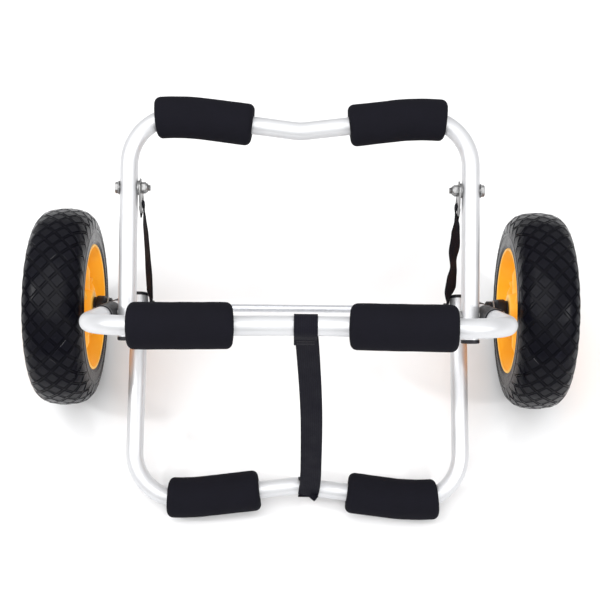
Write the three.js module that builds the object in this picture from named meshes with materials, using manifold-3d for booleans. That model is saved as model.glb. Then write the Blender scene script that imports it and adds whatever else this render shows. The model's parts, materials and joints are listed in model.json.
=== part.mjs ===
// Folding kayak cart: three padded U-shaped tube frames on one axle with two wide wheels.
// Millimetres, +Z up. The axle runs along X, and the floor is z = 0.
import * as THREE from 'three';
import { mergeVertices } from 'three/addons/utils/BufferGeometryUtils.js';
import Module from 'manifold-3d';

const wasm = await Module();
wasm.setup();

// Clearances
const seatGap = 0.3;
const sideGap = 1.6;
const cutOverrun = 5;

// Tubes and how finely round forms are faceted
const tubeDiameter = 22;
const tubeWall = 1.6;
const tubeSides = 12;
const wheelSides = 32;
const cornerSteps = 7;
const dipSteps = 3;

// Frames, each measured from its own pivot
const mainHalfWidth = 233;
const mainReach = 305.5;
const mainStub = 20;
const mainElevation = 51.8;
const bunkReach = 255.7;
const bunkStub = 16;
const kickReach = 250.5;
const kickStub = 30;
const kickElevation = 32.8;
const kickPivotAlong = 113;
const cornerRadius = 60;
const dipRadius = 60;
const dipSlope = 7;

// Foam pads
const padDiameter = 52;
const padLength = 121;
const padEndRadius = 7;
// Where each pad starts, as a share of the frame's half width from the middle
const mainPadShares = { left: 0.298, right: 0.238 };
const bunkPadShares = { left: 0.222, right: 0.294 };
const kickPadShares = { left: 0.27, right: 0.282 };
const padEndSteps = 2;

// Wheels
const wheelRadius = 129;
const tyreWidth = 74;
const tyreDepth = 46.5;
const tyreBeadInset = 1.5;
const tyreBeadHeight = 4.5;
const tyreTreadHeight = 25;
const rimBarrelThickness = 6.5;
const rimWebThickness = 24;
const rimWebFillet = 6;
const hubRadius = 21;
const hubBushRadius = 10;
const hubBushLength = 14;
const hubBushFlange = 3;
const hubBushFlangeRadius = 13;

// Axle and what is threaded on it
const axleRadius = 5;
const legBushRadius = 12;
const legBushLength = 5.3;
const axleWasherRadius = 13;
const axleWasherThickness = 2;
const axleShift = 2.6;
const spacerRadius = 14;
const spacerLength = 14.4;
const hubInnerReach = 38.3;
const hubOuterReach = 25;
const capNutRadius = 9;
const capNutLength = 7;

// Bolts, nuts, caps and collars
const boltRadius = 4;
const boltHeadFlats = 13;
const boltHeadHeight = 5.3;
const nutHeight = 8;
const threadEnd = 3;
const washerRadius = 9;
const washerThickness = 1.6;
const strapBoltFromBar = 96.7;
const capFlange = 3;
const capLip = 0.5;
const capPlug = 7;
const sleeveRadius = 12.3;
const gripStart = 80;
const gripEnd = 170;
const bootEnd = 60;

// Straps and their metal tabs
const webbingThickness = 2;
const centreStrapWidth = 26;
const centreStrapLoopRoom = 2.3;
const centreStrapTopShift = 8;
const centreStrapBottomShift = 13;
const sideStrapWidth = 20;
const tabThickness = 2;
const tabWidth = 30;
const tabTop = 9;
const tabSlotCentre = 16;
const tabSlotHeight = 4;
const tabBar = 5;
const strapEyeEnd = 11;
const retainerRadius = 9;
const retainerLength = 4;

// Shares of the loop size that shape a sewn strap end
const loopApexShare = 2.4;

// The rounded tread, as shares of the tyre's half width and of its height above the flat side
const treadShares = [
  [0.95, 0.36],
  [0.82, 0.66],
  [0.63, 0.84],
  [0.38, 0.955],
  [0.13, 1],
];

const tyreBeadRadius = wheelRadius - tyreDepth;
const tubeRadius = tubeDiameter / 2;
const tubeBore = tubeRadius - tubeWall;
const strapBoltAlong = kickReach - strapBoltFromBar;
const innerHalfWidth = mainHalfWidth - tubeDiameter - sideGap;
const degree = Math.PI / 180;

// Radius of a many-sided bore whose flats clear a round rod
function clearBore(rodRadius, sides) {
  return (rodRadius + seatGap) / Math.cos(Math.PI / sides);
}

// Signed volume tells whether the faces point out; a shape that is inside out is turned round
function outward(source) {
  const bare = source.clone();
  bare.deleteAttribute('normal');
  bare.deleteAttribute('uv');
  const geometry = mergeVertices(bare);
  const places = geometry.getAttribute('position');
  const index = geometry.getIndex();
  const corners = [new THREE.Vector3(), new THREE.Vector3(), new THREE.Vector3()];
  const kept = [];
  let volume = 0;
  for (let i = 0; i < index.count; i += 3) {
    const ids = [index.getX(i), index.getX(i + 1), index.getX(i + 2)];
    if (ids[0] === ids[1] || ids[1] === ids[2] || ids[2] === ids[0]) continue;
    ids.forEach((id, k) => corners[k].fromBufferAttribute(places, id));
    volume += corners[0].dot(corners[1].clone().cross(corners[2]));
    kept.push(...ids);
  }
  if (volume < 0) {
    for (let i = 0; i < kept.length; i += 3) {
      [kept[i], kept[i + 1]] = [kept[i + 1], kept[i]];
    }
  }
  geometry.setIndex(kept);
  return geometry;
}

function toSolid(source) {
  const geometry = outward(source);
  const vertProperties = new Float32Array(geometry.getAttribute('position').array);
  const triVerts = new Uint32Array(geometry.getIndex().array);
  return new wasm.Manifold(new wasm.Mesh({ numProp: 3, vertProperties, triVerts }));
}

function toGeometry(solid) {
  const mesh = solid.getMesh();
  const geometry = new THREE.BufferGeometry();
  geometry.setAttribute('position', new THREE.Float32BufferAttribute(mesh.vertProperties, mesh.numProp));
  geometry.setIndex(Array.from(mesh.triVerts));
  return geometry;
}

function cut(geometry, ...tools) {
  return toGeometry(tools.reduce((rest, tool) => rest.subtract(toSolid(tool)), toSolid(geometry)));
}

function join(geometry, ...others) {
  return toGeometry(others.reduce((whole, other) => whole.add(toSolid(other)), toSolid(geometry)));
}

// A rod along X between two places
function rodAlongX(radius, fromX, toX, sides = tubeSides) {
  const rod = new THREE.CylinderGeometry(radius, radius, Math.abs(toX - fromX), sides);
  rod.rotateZ(Math.PI / 2);
  rod.translate((fromX + toX) / 2, 0, 0);
  return rod;
}

// A ring turned about X from a closed outline of [x, radius] pairs
function turned(outline, sides) {
  const points = outline.map(([x, radius]) => new THREE.Vector2(radius, x));
  points.push(points[0].clone());
  const ring = new THREE.LatheGeometry(points, sides);
  ring.rotateZ(-Math.PI / 2);
  return outward(ring);
}

function ringAlongX(innerRadius, outerRadius, fromX, toX, sides = tubeSides) {
  return turned([[fromX, innerRadius], [toX, innerRadius], [toX, outerRadius], [fromX, outerRadius]], sides);
}

function circlePoints(radius, sides) {
  const points = [];
  for (let i = 0; i < sides; i += 1) {
    const angle = (2 * Math.PI * i) / sides;
    points.push(new THREE.Vector2(radius * Math.cos(angle), radius * Math.sin(angle)));
  }
  return points;
}

// The centre line of a U frame in its own plane: X across, Y away from the pivot.
// The crossbar dips towards the pivot in the middle, between two sloping halves.
function framePieces(halfWidth, reach, stub) {
  const slope = dipSlope * degree;
  const turn = Math.PI / 2 + slope;
  const cornerTangent = cornerRadius * Math.tan(turn / 2);
  const dipTangent = dipRadius * Math.tan(slope);
  const apexY = reach - halfWidth * Math.tan(slope);
  const barWay = new THREE.Vector2(Math.cos(slope), Math.sin(slope));
  const pieces = [];
  const legEnd = new THREE.Vector2(-halfWidth, -stub);
  const legTop = new THREE.Vector2(-halfWidth, reach - cornerTangent);
  const barStart = new THREE.Vector2(
    -halfWidth + cornerTangent * barWay.x,
    reach - cornerTangent * barWay.y,
  );
  const dipStart = new THREE.Vector2(-dipTangent * Math.cos(slope), apexY + dipTangent * Math.sin(slope));
  pieces.push({ from: legEnd, to: legTop });
  pieces.push({
    centre: new THREE.Vector2(-halfWidth + cornerRadius, legTop.y),
    radius: cornerRadius,
    start: Math.PI,
    sweep: -turn,
    steps: cornerSteps,
  });
  pieces.push({ from: barStart, to: dipStart });
  pieces.push({
    centre: new THREE.Vector2(0, dipStart.y + dipRadius * Math.cos(slope)),
    radius: dipRadius,
    start: -Math.PI / 2 - slope,
    sweep: 2 * slope,
    steps: 2 * dipSteps,
  });
  pieces.push({ from: new THREE.Vector2(-dipStart.x, dipStart.y), to: new THREE.Vector2(-barStart.x, barStart.y) });
  pieces.push({
    centre: new THREE.Vector2(halfWidth - cornerRadius, legTop.y),
    radius: cornerRadius,
    start: Math.PI / 2 + slope,
    sweep: -turn,
    steps: cornerSteps,
  });
  pieces.push({ from: new THREE.Vector2(halfWidth, legTop.y), to: new THREE.Vector2(halfWidth, legEnd.y) });
  return pieces;
}

function pieceLength(piece) {
  return piece.from ? piece.from.distanceTo(piece.to) : Math.abs(piece.radius * piece.sweep);
}

// Point and heading at a share of one piece
function pieceAt(piece, share) {
  if (piece.from) {
    return {
      point: piece.from.clone().lerp(piece.to, share),
      way: piece.to.clone().sub(piece.from).normalize(),
    };
  }
  const angle = piece.start + piece.sweep * share;
  const side = Math.sign(piece.sweep);
  return {
    point: new THREE.Vector2(Math.cos(angle), Math.sin(angle)).multiplyScalar(piece.radius).add(piece.centre),
    way: new THREE.Vector2(-Math.sin(angle) * side, Math.cos(angle) * side),
  };
}

// Point and heading at a distance along the centre line
function lineAt(pieces, distance) {
  let left = distance;
  for (const piece of pieces) {
    const length = pieceLength(piece);
    if (left <= length || piece === pieces[pieces.length - 1]) return pieceAt(piece, left / length);
    left -= length;
  }
  return null;
}

// A path that steps only where the centre line bends
class BentPath extends THREE.Curve {
  constructor(pieces) {
    super();
    this.stations = [pieceAt(pieces[0], 0)];
    for (const piece of pieces) {
      const steps = piece.steps || 1;
      for (let i = 1; i <= steps; i += 1) this.stations.push(pieceAt(piece, i / steps));
    }
  }

  get steps() {
    return this.stations.length - 1;
  }

  getPoint(share) {
    const { point } = this.stations[Math.round(share * this.steps)];
    return new THREE.Vector3(point.x, point.y, 0);
  }

  getPointAt(share) {
    return this.getPoint(share);
  }

  getTangentAt(share) {
    const { way } = this.stations[Math.round(share * this.steps)];
    return new THREE.Vector3(way.x, way.y, 0);
  }
}

function bentTube(pieces) {
  const section = new THREE.Shape(circlePoints(tubeRadius, tubeSides));
  section.holes.push(new THREE.Path(circlePoints(tubeBore, tubeSides)));
  const path = new BentPath(pieces);
  return new THREE.ExtrudeGeometry(section, { steps: path.steps, extrudePath: path, bevelEnabled: false });
}

// A foam sleeve with rounded ends that follows the tube from one distance to another
function foamSleeve(pieces, from, to) {
  const bore = clearBore(tubeRadius, tubeSides);
  const outer = padDiameter / 2;
  const marks = [];
  let passed = 0;
  for (const piece of pieces) {
    const length = pieceLength(piece);
    const steps = piece.steps || 1;
    for (let i = 0; i <= steps; i += 1) marks.push(passed + (length * i) / steps);
    passed += length;
  }
  const inside = (low, high) => marks.filter((mark, i) => (
    mark > low + padEndRadius / 2 && mark < high - padEndRadius / 2 && mark !== marks[i - 1]
  ));
  const profile = [];
  for (let i = 0; i <= padEndSteps; i += 1) {
    const angle = (Math.PI / 2) * (i / padEndSteps);
    profile.push([
      from + padEndRadius * (1 - Math.sin(angle)),
      outer - padEndRadius * (1 - Math.cos(angle)),
    ]);
  }
  profile.reverse();
  inside(from + padEndRadius, to - padEndRadius).forEach((mark) => profile.push([mark, outer]));
  const far = [];
  for (let i = 0; i <= padEndSteps; i += 1) {
    const angle = (Math.PI / 2) * (i / padEndSteps);
    far.push([to - padEndRadius * (1 - Math.sin(angle)), outer - padEndRadius * (1 - Math.cos(angle))]);
  }
  profile.push(...far);
  profile.push([to, bore]);
  inside(from, to).reverse().forEach((mark) => profile.push([mark, bore]));
  profile.push([from, bore]);
  const points = profile.map(([along, radius]) => new THREE.Vector2(radius, along));
  points.push(points[0].clone());
  const sleeve = new THREE.LatheGeometry(points, tubeSides);
  const places = sleeve.getAttribute('position');
  for (let i = 0; i < places.count; i += 1) {
    const { point, way } = lineAt(pieces, places.getY(i));
    const side = places.getX(i);
    places.setXYZ(i, point.x - way.y * side, point.y + way.x * side, places.getZ(i));
  }
  return outward(sleeve);
}

// A plug cap for an open tube end: its lip faces away from the frame
function tubeCap() {
  const lip = tubeRadius + capLip;
  const plug = (tubeBore - seatGap) * Math.cos(Math.PI / tubeSides);
  const points = [
    new THREE.Vector2(0, -seatGap - capFlange),
    new THREE.Vector2(lip - capFlange / 3, -seatGap - capFlange),
    new THREE.Vector2(lip, -seatGap - capFlange * 2 / 3),
    new THREE.Vector2(lip, -seatGap),
    new THREE.Vector2(plug, -seatGap),
    new THREE.Vector2(plug, capPlug),
    new THREE.Vector2(0, capPlug),
  ];
  return outward(new THREE.LatheGeometry(points, tubeSides));
}

// A thin sleeve round a straight leg, between two distances along it
function legSleeve(from, to) {
  const bore = clearBore(tubeRadius, tubeSides);
  const points = [
    new THREE.Vector2(bore, from),
    new THREE.Vector2(sleeveRadius, from),
    new THREE.Vector2(sleeveRadius, to),
    new THREE.Vector2(bore, to),
    new THREE.Vector2(bore, from),
  ];
  return outward(new THREE.LatheGeometry(points, tubeSides));
}

// A boot over a leg's end: a plug cap with a skirt up to a distance along the leg
function legBoot(stub) {
  const bore = clearBore(tubeRadius, tubeSides);
  const floor = -stub - seatGap;
  const points = [
    new THREE.Vector2(0, floor - capFlange),
    new THREE.Vector2(sleeveRadius - capFlange / 3, floor - capFlange),
    new THREE.Vector2(sleeveRadius, floor - capFlange * 2 / 3),
    new THREE.Vector2(sleeveRadius, bootEnd),
    new THREE.Vector2(bore, bootEnd),
    new THREE.Vector2(bore, floor),
    new THREE.Vector2(0, floor),
  ];
  return outward(new THREE.LatheGeometry(points, tubeSides));
}

// A hexagon prism along X
function hexAlongX(flats, fromX, toX) {
  const hexSides = 6;
  return rodAlongX(flats / 2 / Math.cos(Math.PI / hexSides), fromX, toX, hexSides);
}

const paint = {
  tube: { color: 0xdcdedf, roughness: 0.35, metalness: 0.6 },
  foam: { color: 0x25262a, roughness: 0.95, metalness: 0 },
  tyre: { color: 0x2b2c30, roughness: 0.85, metalness: 0 },
  rim: { color: 0xf2a80c, roughness: 0.45, metalness: 0 },
  black: { color: 0x17181a, roughness: 0.55, metalness: 0 },
  steel: { color: 0xb9bbbe, roughness: 0.3, metalness: 0.9 },
  webbing: { color: 0x1a1a1c, roughness: 0.9, metalness: 0 },
};

function piece(name, geometry, finish) {
  const mesh = new THREE.Mesh(geometry, new THREE.MeshStandardMaterial(paint[finish]));
  mesh.name = name;
  return mesh;
}

const cart = new THREE.Group();
const axleHeight = wheelRadius;

// The farthest that a frame's centre line gets from its pivot, at the corner bends
function crestOf(reach) {
  return reach - cornerRadius * Math.tan((90 + dipSlope) * degree / 2) + cornerRadius;
}

// The lower bunk hangs at the slope where its pads rest on the floor
const bunkDrop = Math.asin((axleHeight - padDiameter / 2) / crestOf(bunkReach));

// Each frame is a group turned about the axle line, with its legs along its own Y
const mainGroup = new THREE.Group();
mainGroup.position.z = axleHeight;
mainGroup.rotation.x = Math.PI - mainElevation * degree;
const bunkGroup = new THREE.Group();
bunkGroup.position.z = axleHeight;
bunkGroup.rotation.x = Math.PI + bunkDrop;
const kickPivot = new THREE.Vector3(
  0,
  -kickPivotAlong * Math.cos(mainElevation * degree),
  axleHeight + kickPivotAlong * Math.sin(mainElevation * degree),
);
const kickGroup = new THREE.Group();
kickGroup.position.copy(kickPivot);
kickGroup.rotation.x = kickElevation * degree;
cart.add(mainGroup, bunkGroup, kickGroup);

const sides = [['left', -1], ['right', 1]];

// A hole right through both legs of a frame, at a distance along them
function legHoles(halfWidth, along, radius) {
  return sides.map(([, sign]) => {
    const tool = rodAlongX(
      clearBore(radius, tubeSides),
      sign * (halfWidth - tubeRadius - cutOverrun),
      sign * (halfWidth + tubeRadius + cutOverrun),
    );
    tool.translate(0, along, 0);
    return tool;
  });
}

function addFrame(group, prefix, halfWidth, reach, stub, padShares, holes) {
  const pieces = framePieces(halfWidth, reach, stub);
  const tools = holes.flatMap(({ along, radius }) => legHoles(halfWidth, along, radius));
  group.add(piece(`${prefix}_frame`, cut(bentTube(pieces), ...tools), 'tube'));
  const whole = pieces.reduce((sum, part) => sum + pieceLength(part), 0);
  const leftEnd = whole / 2 - halfWidth * padShares.left;
  group.add(piece(`${prefix}_pad_left`, foamSleeve(pieces, leftEnd - padLength, leftEnd), 'foam'));
  const rightStart = whole / 2 + halfWidth * padShares.right;
  group.add(piece(`${prefix}_pad_right`, foamSleeve(pieces, rightStart, rightStart + padLength), 'foam'));
}

function addLegCaps(group, prefix, halfWidth, stub) {
  for (const [side, sign] of sides) {
    const cap = piece(`${prefix}_leg_cap_${side}`, tubeCap(), 'black');
    cap.position.set(sign * halfWidth, -stub, 0);
    group.add(cap);
  }
}

addFrame(mainGroup, 'main', mainHalfWidth, mainReach, mainStub, mainPadShares, [
  { along: 0, radius: axleRadius },
  { along: kickPivotAlong, radius: boltRadius },
]);
addFrame(bunkGroup, 'lower_bunk', innerHalfWidth, bunkReach, bunkStub, bunkPadShares, [
  { along: 0, radius: axleRadius },
]);
addFrame(kickGroup, 'kickstand', innerHalfWidth, kickReach, kickStub, kickPadShares, [
  { along: 0, radius: boltRadius },
  { along: strapBoltAlong, radius: boltRadius },
]);

addLegCaps(bunkGroup, 'lower_bunk', innerHalfWidth, bunkStub);
addLegCaps(kickGroup, 'kickstand', innerHalfWidth, kickStub);
for (const [side, sign] of sides) {
  const boot = cut(
    legBoot(mainStub).translate(sign * mainHalfWidth, 0, 0),
    ...legHoles(mainHalfWidth, 0, axleRadius),
  );
  mainGroup.add(piece(`main_leg_boot_${side}`, boot, 'black'));
}

// Places along X, from the main legs outwards
const legOuter = mainHalfWidth + sleeveRadius;
const bushStart = legOuter + seatGap;
const bushEnd = bushStart + legBushLength;
const axleWasherStart = bushEnd + seatGap;
const axleWasherEnd = axleWasherStart + axleWasherThickness;
const spacerStart = axleWasherEnd + seatGap;
const spacerEnd = spacerStart + spacerLength;
const hubStart = spacerEnd + seatGap;
const wheelMiddle = hubStart + hubInnerReach;
const hubEnd = wheelMiddle + hubOuterReach;
const outerWasherStart = hubEnd + seatGap;
const outerWasherEnd = outerWasherStart + axleWasherThickness;
const capNutStart = outerWasherEnd + seatGap;
const capNutEnd = capNutStart + capNutLength;
const axleEnd = capNutEnd - capNutLength / 3;

// Places along X, from the inner legs inwards
const innerLegFace = innerHalfWidth - tubeRadius;
const kickFace = innerLegFace - seatGap;
const tabFace = kickFace - washerThickness - seatGap;
const strapPlane = tabFace - tabThickness / 2;

function onAxle(mesh, shift = axleShift) {
  mesh.position.set(shift, 0, axleHeight);
  cart.add(mesh);
}

onAxle(piece('axle', rodAlongX(axleRadius, -axleEnd, axleEnd), 'steel'));

// The tyre's outline from bead to bead over the tread, as [x from the middle, radius]
function tyreOutline() {
  const half = tyreWidth / 2;
  const flatEnd = wheelRadius - tyreTreadHeight;
  const right = [
    [half - tyreBeadInset, tyreBeadRadius],
    [half, tyreBeadRadius + tyreBeadHeight],
    [half, flatEnd],
    ...treadShares.map(([across, up]) => [half * across, flatEnd + tyreTreadHeight * up]),
  ];
  const left = right.map(([x, radius]) => [-x, radius]).reverse();
  return [...right, ...left];
}

// The rim: a barrel under the tyre, a recessed web on each side and a hub whose inner end
// stands further out than its outer end; sign is the wheel's side
function rimOutline(sign) {
  const seat = (tyreBeadRadius - seatGap) * Math.cos(Math.PI / wheelSides);
  const edge = tyreWidth / 2 - tyreBeadInset;
  const barrel = tyreBeadRadius - rimBarrelThickness;
  const web = rimWebThickness / 2;
  const bore = clearBore(hubBushRadius, tubeSides);
  const flange = hubBushFlange + seatGap;
  const half = (way, reach) => [
    [way * edge, seat],
    [way * edge, barrel],
    [way * web, barrel - rimWebFillet],
    [way * web, hubRadius + rimWebFillet],
    [way * (reach - flange), hubRadius],
    [way * (reach - flange), bore],
  ];
  return [...half(sign, hubOuterReach), ...half(-sign, hubInnerReach).reverse()];
}

// A flanged bush at one end of the hub, its flange outermost, for a hub end at a reach from the middle
function hubBush(reach) {
  const bore = clearBore(axleRadius, tubeSides);
  const flangeInner = reach - hubBushFlange;
  const inEnd = flangeInner - hubBushLength;
  return turned([
    [inEnd, bore],
    [reach, bore],
    [reach, hubBushFlangeRadius],
    [flangeInner, hubBushFlangeRadius],
    [flangeInner, hubBushRadius],
    [inEnd, hubBushRadius],
  ], tubeSides);
}

for (const [side, sign] of sides) {
  const axleBore = clearBore(axleRadius, tubeSides);
  const ring = (outer, from, to) => ringAlongX(axleBore, outer, sign * from, sign * to);
  const bush = ring(legBushRadius, bushStart, bushEnd + sign * axleShift);
  onAxle(piece(`${side}_leg_bush`, bush, 'black'), 0);
  onAxle(piece(`${side}_axle_washer`, ring(axleWasherRadius, axleWasherStart, axleWasherEnd), 'steel'));
  onAxle(piece(`${side}_wheel_spacer`, ring(spacerRadius, spacerStart, spacerEnd), 'black'));
  onAxle(piece(`${side}_outer_washer`, ring(axleWasherRadius, outerWasherStart, outerWasherEnd), 'steel'));
  const capNut = cut(
    rodAlongX(capNutRadius, sign * capNutStart, sign * capNutEnd),
    rodAlongX(axleBore, sign * (capNutStart - cutOverrun), sign * (axleEnd + seatGap)),
  );
  onAxle(piece(`${side}_axle_cap`, capNut, 'black'));
  const wheel = new THREE.Group();
  wheel.position.set(sign * wheelMiddle + axleShift, 0, axleHeight);
  wheel.add(piece(`${side}_tyre`, turned(tyreOutline(), wheelSides), 'tyre'));
  wheel.add(piece(`${side}_rim`, turned(rimOutline(sign), wheelSides), 'rim'));
  const outerBush = piece(`${side}_outer_hub_bush`, hubBush(hubOuterReach), 'black');
  outerBush.rotation.z = sign > 0 ? 0 : Math.PI;
  const innerBush = piece(`${side}_inner_hub_bush`, hubBush(hubInnerReach), 'black');
  innerBush.rotation.z = sign > 0 ? Math.PI : 0;
  wheel.add(outerBush, innerBush);
  cart.add(wheel);
}

// A bolt along X whose head is outermost
function boltAlongX(sign, headFrom, tip) {
  const headTo = headFrom + boltHeadHeight;
  const middle = headFrom + boltHeadHeight / 2;
  return join(
    hexAlongX(boltHeadFlats, sign * headFrom, sign * headTo),
    rodAlongX(boltRadius, sign * tip, sign * middle),
  );
}

function nutAlongX(sign, outerX) {
  return cut(
    hexAlongX(boltHeadFlats, sign * outerX, sign * (outerX - nutHeight)),
    rodAlongX(
      clearBore(boltRadius, tubeSides),
      sign * (outerX + cutOverrun),
      sign * (outerX - nutHeight - cutOverrun),
    ),
  );
}

// Ribbed grips on the main legs, the kickstand's pivots and the strap bolts
for (const [side, sign] of sides) {
  const grip = cut(
    legSleeve(gripStart, gripEnd).translate(sign * mainHalfWidth, 0, 0),
    ...legHoles(mainHalfWidth, kickPivotAlong, boltRadius),
  );
  mainGroup.add(piece(`${side}_leg_grip`, grip, 'black'));

  const pivotNutFace = kickFace;
  const pivotTip = pivotNutFace - nutHeight - threadEnd;
  const pivotHead = mainHalfWidth + sleeveRadius + seatGap;
  const pivotBolt = piece(`${side}_pivot_bolt`, boltAlongX(sign, pivotHead, pivotTip), 'steel');
  pivotBolt.position.y = kickPivotAlong;
  const pivotNut = piece(`${side}_pivot_nut`, nutAlongX(sign, pivotNutFace), 'steel');
  pivotNut.position.y = kickPivotAlong;
  mainGroup.add(pivotBolt, pivotNut);

  const strapNutFace = tabFace - tabThickness - seatGap;
  const strapTip = strapNutFace - nutHeight - threadEnd;
  const strapHead = innerHalfWidth + tubeRadius + seatGap;
  const strapBolt = piece(`${side}_strap_bolt`, boltAlongX(sign, strapHead, strapTip), 'steel');
  const strapWasher = piece(
    `${side}_strap_washer`,
    ringAlongX(
      clearBore(boltRadius, tubeSides),
      washerRadius,
      sign * kickFace,
      sign * (kickFace - washerThickness),
    ),
    'steel',
  );
  const strapNut = piece(`${side}_strap_nut`, nutAlongX(sign, strapNutFace), 'steel');
  for (const mesh of [strapBolt, strapWasher, strapNut]) {
    mesh.position.y = strapBoltAlong;
    kickGroup.add(mesh);
  }
}

// The strap bolts as seen from the axle, which sets how each side strap hangs
const strapBoltPlace = new THREE.Vector3(0, strapBoltAlong, 0)
  .applyAxisAngle(new THREE.Vector3(1, 0, 0), kickElevation * degree)
  .add(kickPivot);
const axlePlace = new THREE.Vector3(0, 0, axleHeight);
const strapSpan = strapBoltPlace.distanceTo(axlePlace);
const strapLean = Math.atan2(strapBoltPlace.z - axlePlace.z, strapBoltPlace.y - axlePlace.y);

// A flat tab with a bolt hole and a slot; its own Y points away from the axle
function strapTab() {
  const half = tabWidth / 2;
  const low = -tabSlotCentre - tabSlotHeight / 2 - tabBar;
  const outline = new THREE.Shape([
    new THREE.Vector2(-half, low),
    new THREE.Vector2(half, low),
    new THREE.Vector2(half, -tabTop),
    new THREE.Vector2(half / 2, tabTop),
    new THREE.Vector2(-half / 2, tabTop),
    new THREE.Vector2(-half, -tabTop),
  ]);
  outline.holes.push(new THREE.Path(circlePoints(clearBore(boltRadius, tubeSides), tubeSides)));
  const slotHalf = sideStrapWidth / 2 + seatGap;
  const slotTop = -tabSlotCentre + tabSlotHeight / 2;
  const slotLow = -tabSlotCentre - tabSlotHeight / 2;
  outline.holes.push(new THREE.Path([
    new THREE.Vector2(-slotHalf, slotLow),
    new THREE.Vector2(slotHalf, slotLow),
    new THREE.Vector2(slotHalf, slotTop),
    new THREE.Vector2(-slotHalf, slotTop),
  ]));
  const plate = new THREE.ExtrudeGeometry(outline, { depth: tabThickness, bevelEnabled: false });
  plate.translate(0, 0, -tabThickness / 2);
  plate.rotateY(Math.PI / 2);
  return outward(plate);
}

// A webbing strap seen edge-on: X is its thickness, Y runs along it from the axle's eye
// to the loop that holds the tab's lower bar
function sideStrap() {
  const thin = webbingThickness / 2;
  const barLow = strapSpan - tabSlotCentre - tabSlotHeight / 2 - tabBar - seatGap;
  const barTop = barLow + tabBar + 2 * seatGap;
  const room = tabThickness / 2 + seatGap;
  const skin = tabSlotHeight / 3;
  const outer = room + skin;
  const outline = new THREE.Shape([
    new THREE.Vector2(-thin, -strapEyeEnd),
    new THREE.Vector2(thin, -strapEyeEnd),
    new THREE.Vector2(thin, barLow - outer * 2),
    new THREE.Vector2(outer, barLow - skin),
    new THREE.Vector2(outer, barTop + skin / 2),
    new THREE.Vector2(outer / 2, barTop + skin),
    new THREE.Vector2(-outer / 2, barTop + skin),
    new THREE.Vector2(-outer, barTop + skin / 2),
    new THREE.Vector2(-outer, barLow - skin),
    new THREE.Vector2(-thin, barLow - outer * 2),
  ]);
  outline.holes.push(new THREE.Path([
    new THREE.Vector2(-room, barLow),
    new THREE.Vector2(room, barLow),
    new THREE.Vector2(room, barTop),
    new THREE.Vector2(-room, barTop),
  ]));
  const strap = new THREE.ExtrudeGeometry(outline, { depth: sideStrapWidth, bevelEnabled: false });
  strap.translate(0, 0, -sideStrapWidth / 2);
  const eye = clearBore(axleRadius, tubeSides);
  return cut(strap, rodAlongX(eye, -cutOverrun, cutOverrun));
}

for (const [side, sign] of sides) {
  const tab = piece(`${side}_strap_tab`, strapTab(), 'steel');
  tab.position.set(sign * strapPlane, strapBoltPlace.y, strapBoltPlace.z);
  tab.rotation.x = strapLean;
  const strap = piece(`${side}_side_strap`, sideStrap(), 'webbing');
  strap.position.set(sign * strapPlane, axlePlace.y, axlePlace.z);
  strap.rotation.x = strapLean;
  cart.add(tab, strap);
  const retainerStart = strapPlane - webbingThickness / 2 - seatGap;
  const retainer = ringAlongX(
    clearBore(axleRadius, tubeSides),
    retainerRadius,
    sign * retainerStart,
    sign * (retainerStart - retainerLength),
  );
  onAxle(piece(`${side}_strap_retainer`, retainer, 'black'), 0);
}

// A sewn strap between two bars, in the plane across them: a loop round each end
function loopedStrap(span) {
  const bore = tubeRadius + centreStrapLoopRoom;
  const outer = bore + webbingThickness;
  const thin = webbingThickness / 2;
  const lean = Math.asin(1 / loopApexShare);
  const neck = outer / Math.sin(lean) - thin / Math.tan(lean);
  const arc = (radius, centreY, facing) => {
    const points = [];
    const from = -Math.PI / 2 + (Math.PI / 2 - lean);
    const steps = tubeSides;
    for (let i = 0; i <= steps; i += 1) {
      const angle = from + ((Math.PI + 2 * lean) * i) / steps;
      points.push(new THREE.Vector2(radius * Math.cos(angle), centreY + facing * radius * Math.sin(angle)));
    }
    return facing > 0 ? points : points.reverse();
  };
  const top = arc(outer, span, 1);
  const bottom = arc(outer, 0, -1);
  const outline = new THREE.Shape([
    new THREE.Vector2(thin, span - neck),
    ...top,
    new THREE.Vector2(-thin, span - neck),
    new THREE.Vector2(-thin, neck),
    ...bottom,
    new THREE.Vector2(thin, neck),
  ]);
  const apex = bore * loopApexShare;
  outline.holes.push(new THREE.Path([...arc(bore, span, 1), new THREE.Vector2(0, span - apex)]));
  outline.holes.push(new THREE.Path([...arc(bore, 0, -1), new THREE.Vector2(0, apex)]));
  const strap = new THREE.ExtrudeGeometry(outline, { depth: centreStrapWidth, bevelEnabled: false });
  strap.translate(0, 0, -centreStrapWidth / 2);
  strap.rotateY(Math.PI / 2);
  const places = strap.getAttribute('position');
  for (let i = 0; i < places.count; i += 1) {
    const share = Math.min(1, Math.max(0, places.getY(i) / span));
    const shift = centreStrapBottomShift + (centreStrapTopShift - centreStrapBottomShift) * share;
    places.setX(i, places.getX(i) + shift);
  }
  return outward(strap);
}

// Where a frame's crossbar runs, at a distance across from the middle
function crossbarPlace(group, reach, halfWidth, across) {
  const along = reach - (halfWidth - across) * Math.tan(dipSlope * degree);
  return new THREE.Vector3(0, along, 0)
    .applyAxisAngle(new THREE.Vector3(1, 0, 0), group.rotation.x)
    .add(group.position);
}

const mainBar = crossbarPlace(mainGroup, mainReach, mainHalfWidth, centreStrapTopShift);
const bunkBar = crossbarPlace(bunkGroup, bunkReach, innerHalfWidth, centreStrapBottomShift);
const centreStrap = piece('centre_strap', loopedStrap(mainBar.distanceTo(bunkBar)), 'webbing');
centreStrap.position.copy(bunkBar);
centreStrap.rotation.x = Math.atan2(mainBar.z - bunkBar.z, mainBar.y - bunkBar.y);
cart.add(centreStrap);

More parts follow.
